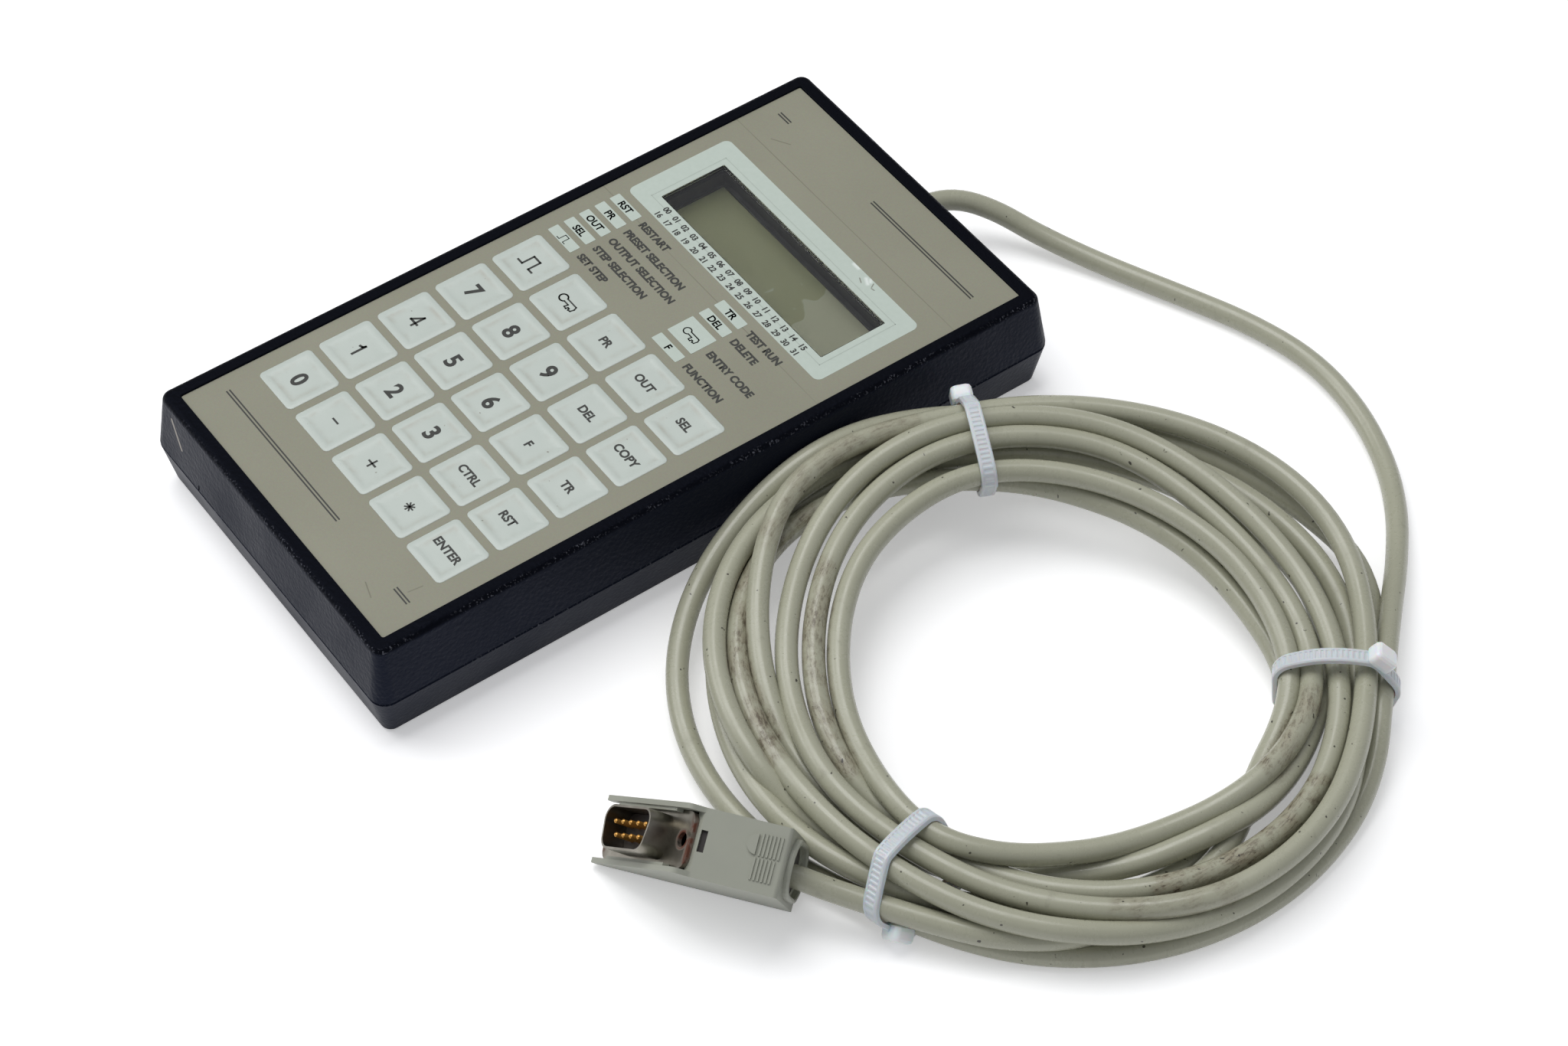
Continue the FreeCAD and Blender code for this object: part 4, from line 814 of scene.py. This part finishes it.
def flat_word(text, bold):
    """A word as flat faces at unit size, its baseline at 0 and centred on 0."""
    curve = bpy.data.curves.new("word", "FONT")
    curve.body = text
    curve.align_x = "CENTER"
    curve.offset = bold
    curve.resolution_u = 4
    holder = placed("word", curve)
    bpy.context.view_layer.update()
    made = bpy.data.meshes.new_from_object(holder.evaluated_get(bpy.context.evaluated_depsgraph_get()))
    bpy.data.objects.remove(holder)
    bpy.data.curves.remove(curve)
    return made


def measure(mesh):
    """The lowest and highest corner of a mesh's points."""
    points = np.array([v.co for v in mesh.vertices])
    return points.min(0), points.max(0)


cap_of_type = measure(flat_word("H", 0.0))[1][1]


def set_words(bm, words):
    """Adds printed words to a mesh: text, middle x, middle y, cap height, boldness, side kept."""
    for text, x, y, cap, bold, side in words:
        made = flat_word(text, bold)
        low, high = measure(made)
        scale = cap / cap_of_type
        shift = {"middle": -(low[0] + high[0]) / 2, "left": -low[0]}[side]
        rise = -cap_of_type / 2 if text[0].isalnum() else -(low[1] + high[1]) / 2
        made.transform(Matrix.Translation((x, y, film_top + ink_stand)) @ Matrix.Scale(scale, 4)
                       @ Matrix.Translation((shift, rise, 0)))
        bm.from_mesh(made)
        bpy.data.meshes.remove(made)


def set_stroke(bm, points, width):
    """Adds a printed line of one width along points, each run reaching half a width past its end."""
    for (ax, ay), (bx, by) in zip(points, points[1:]):
        run = Vector((bx - ax, by - ay))
        run.normalize()
        reach = run * width / 2
        side = Vector((-run.y, run.x)) * width / 2
        start, end = Vector((ax, ay)) - reach, Vector((bx, by)) + reach
        bm.faces.new([bm.verts.new((p.x, p.y, film_top + ink_stand))
                      for p in (start - side, end - side, end + side, start + side)])


# The signs at unit size: a square pulse on a base line, and a door key with a round bow and two teeth.
pulse = [(-1.0, -0.62), (-0.42, -0.62), (-0.42, 0.62), (0.5, 0.62), (0.5, -0.62), (1.0, -0.62)]
bow = [(-0.62 + 0.38 * math.cos(t), 0.36 * math.sin(t))
       for t in np.linspace(math.radians(28), math.radians(332), 18)]
bit = [(0.24, -0.17), (0.18, -0.5), (0.44, -0.54), (0.48, -0.34), (0.62, -0.34), (0.68, -0.5),
       (0.9, -0.44), (0.98, -0.1), (0.86, 0.17)]
sign_lines = {"pulse": pulse, "lock": bow + bit + bow[:1]}
# Their half widths and strokes on the keys and on the legends' chips.
key_signs = {"pulse": (2.7 * mm, 0.5 * mm), "lock": (2.9 * mm, 0.36 * mm)}
chip_signs = {"pulse": (1.5 * mm, 0.22 * mm), "lock": (2.6 * mm, 0.3 * mm)}


def set_sign(bm, sign, x, y, size, width):
    """Adds a sign about a place."""
    set_stroke(bm, [(x + px * size, y + py * size) for px, py in sign_lines[sign]], width)


# Cap height and thickening of the large figures and the small words on the keys.
large_type = (3.9 * mm, 0.032)
small_type = (2.0 * mm, 0.034)
# The film's edge round each key, which closes the line that the cut-out leaves: reach and height in mm.
edge_section = [(0.01, -0.25), (0.01, 0.01), (0.16, 0.01), (0.16, -0.25)]
edges_bm = bmesh.new()
for name, text in key_print.items():
    low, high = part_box("key_" + name)
    middle = (low + high) / 2
    rides_on = f"key_{name}_body"
    made = piece("pad_" + name, key_shape(low, high), key_film, rides_on)
    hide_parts("key_" + name)
    bm = bmesh.new()
    if name in key_signs:
        set_sign(bm, name, middle.x, middle.y, *key_signs[name])
    elif text in key_marks:
        for mark in key_marks[text]:
            line = [(middle.x + x * mm, middle.y + y * mm) for x, y in mark]
            set_stroke(bm, line, mark_widths[text] * mm)
    else:
        large = len(text) == 1 and text != "F"
        set_words(bm, [(text, middle.x, middle.y, *(large_type if large else small_type), "middle")])
    piece("print_" + name, bm, dark_ink, rides_on)
    loops = [front_loop(edges_bm, low, high, key_corner + reach * mm, rise * mm, reach * mm)
             for reach, rise in edge_section]
    skin(edges_bm, loops + loops[:1])
piece("key_edges", edges_bm, film_print, body)

# The printed front: white areas first, then the dark words and lines on them and on the film.
# Corners of the white frame, its cut-out and the chips; strokes of the window's step, a line of painted
# shade where the film rises over the window's edge, and of the double lines.
frame_corner, cut_corner, chip_corner = 1.7 * mm, 0.3 * mm, 0.25 * mm
step_stroke, double_stroke = 0.16 * mm, 0.34 * mm
bm = bmesh.new()
frame_edge = front_loop(bm, panel(5.0, 137.5), panel(93.4, 171.3), frame_corner, ink_stand / 2)
cut_edge = front_loop(bm, window_low, window_high, cut_corner, ink_stand / 2, -window_ledge)
skin(bm, [frame_edge, cut_edge])
# The legends' white chips: left and right edge, top and height, in panel places.
chips = [(5.0, 16.0, top, 3.3) for top in (134.9, 129.9, 124.8, 119.8, 114.7)]
chips += [(54.8, 65.9, top, tall) for top, tall in ((134.9, 3.3), (129.9, 3.3), (124.8, 8.3), (114.7, 3.3))]
for u0, u1, top, tall in chips:
    bm.faces.new(front_loop(bm, panel(u0, top - tall), panel(u1, top), chip_corner, steps=4))
piece("white_print", bm, white_ink, body)

bm = bmesh.new()
step = [(window_low.x, window_low.y), (window_high.x, window_low.y), (window_high.x, window_high.y),
        (window_low.x, window_high.y)]
set_stroke(bm, step + step[:1], step_stroke)
piece("window_step", bm, step_painted_shade, body)

# Cap height and thickening of the figures by the display, the short words on chips and the long ones.
figure_type = (1.4 * mm, 0.034)
chip_type = (1.75 * mm, 0.032)
legend_type = (1.8 * mm, 0.043)
bm = bmesh.new()
words = []
# Two rows of sixteen figures: each row's first and its height, and the columns' ends, in panel places.
figure_rows = ((0, 141.8), (16, 139.0))
figure_ends = (18.2, 81.3)
for first, row_v in figure_rows:
    for column, u in enumerate(np.linspace(*figure_ends, 16)):
        x, y = panel(u, row_v)
        words.append((f"{first + column:02d}", x, y, *figure_type, "middle"))
# Each legend: the middle of its chip, where its words start, its height, and both texts.
left_legend = [(133.25, "RST", "RESTART"), (128.25, "PR", "PRESET SELECTION"),
               (123.15, "OUT", "OUTPUT SELECTION"), (118.15, "SEL", "STEP SELECTION"),
               (113.05, "pulse", "SET STEP")]
right_legend = [(133.25, "TR", "TEST RUN"), (128.25, "DEL", "DELETE"), (120.6, "lock", "ENTRY CODE"),
                (113.05, "F", "FUNCTION")]
for chip_u, words_u, legend in ((10.5, 18.2, left_legend), (60.35, 68.3, right_legend)):
    for v, short, meaning in legend:
        x, y = panel(chip_u, v)
        if short in chip_signs:
            set_sign(bm, short, x, y, *chip_signs[short])
        else:
            words.append((short, x, y, *chip_type, "middle"))
        words.append((meaning, panel(words_u, 0)[0], y, *legend_type, "left"))
set_words(bm, words)
# The double lines: the upper one's height and both ends, in panel places, and the lower one's drop.
double_lines = [(189.3, 5.2, 9.8), (189.3, 48.6, 93.0), (11.5, 5.5, 60.3), (11.5, 88.2, 93.9)]
double_gap = 0.9
for upper, u0, u1 in double_lines:
    for v in (upper, upper - double_gap):
        set_stroke(bm, [panel(u0, v), panel(u1, v)], double_stroke)
piece("dark_print", bm, dark_ink, body)

# The floor, the light and the camera.
floor_lift = 0.33
floor_drop = 0.1 * mm
bm = bmesh.new()
bmesh.ops.create_grid(bm, x_segments=1, y_segments=1, size=4.0)
floor = placed("floor", solid("floor", bm))
floor.location.z = -floor_drop
# To the eye, to mirrors and through glass the paper is lifted to white; it keeps its shadows.
floor_paper, tree, shader, place = surface("white_studio_paper", "#FAFAFA", 0.9)
path = add(tree, "LightPath").outputs
seen = joined(tree, "MAXIMUM", [path["Is Camera Ray"], path["Is Glossy Ray"], path["Is Transmission Ray"]])
lift = joined(tree, "MULTIPLY", [seen, floor_lift])
wire(tree, shader, {"Emission Strength": lift, "Emission Color": linear("#FFFFFF")})
floor.data.materials.append(floor_paper)

world = bpy.data.worlds.new("studio")
scene.world = world
world.use_nodes = True
wire(world.node_tree, world.node_tree.nodes["Background"], {"Color": linear("#F6F8FF"), "Strength": 0.38})


def softbox(name, place, aim, width, power):
    """A wide square lamp that faces a point."""
    lamp = bpy.data.lights.new(name, "AREA")
    lamp.shape = "SQUARE"
    lamp.size = width
    lamp.energy = power
    holder = placed(name, lamp)
    holder.location = place
    holder.rotation_euler = (Vector(aim) - Vector(place)).to_track_quat("-Z", "Y").to_euler()


softbox("overhead", (-0.4, 0.0, 1.45), (0.06, 0.03, 0), 1.0, 12.2)
softbox("side_fill", (-0.9, -0.7, 0.9), (0.05, 0, 0.02), 0.7, 4.5)

camera_data = bpy.data.cameras.new("photograph_view")
camera_data.sensor_fit = "HORIZONTAL"
camera_data.sensor_width = 36.0
camera_data.lens = 88.05
camera_data.clip_end = 20.0
camera = placed("photograph_view", camera_data)
eye = Vector((0.4984, -0.3038, 0.6484))
right = Vector((0.5831, 0.8123, -0.0065))
forward = Vector((-0.5299, 0.3743, -0.7610))
up = right.cross(forward)
camera.matrix_world = Matrix.Translation(eye) @ Matrix((right, up, -forward)).transposed().to_4x4()
scene.camera = camera
scene.view_settings.view_transform = "Standard"
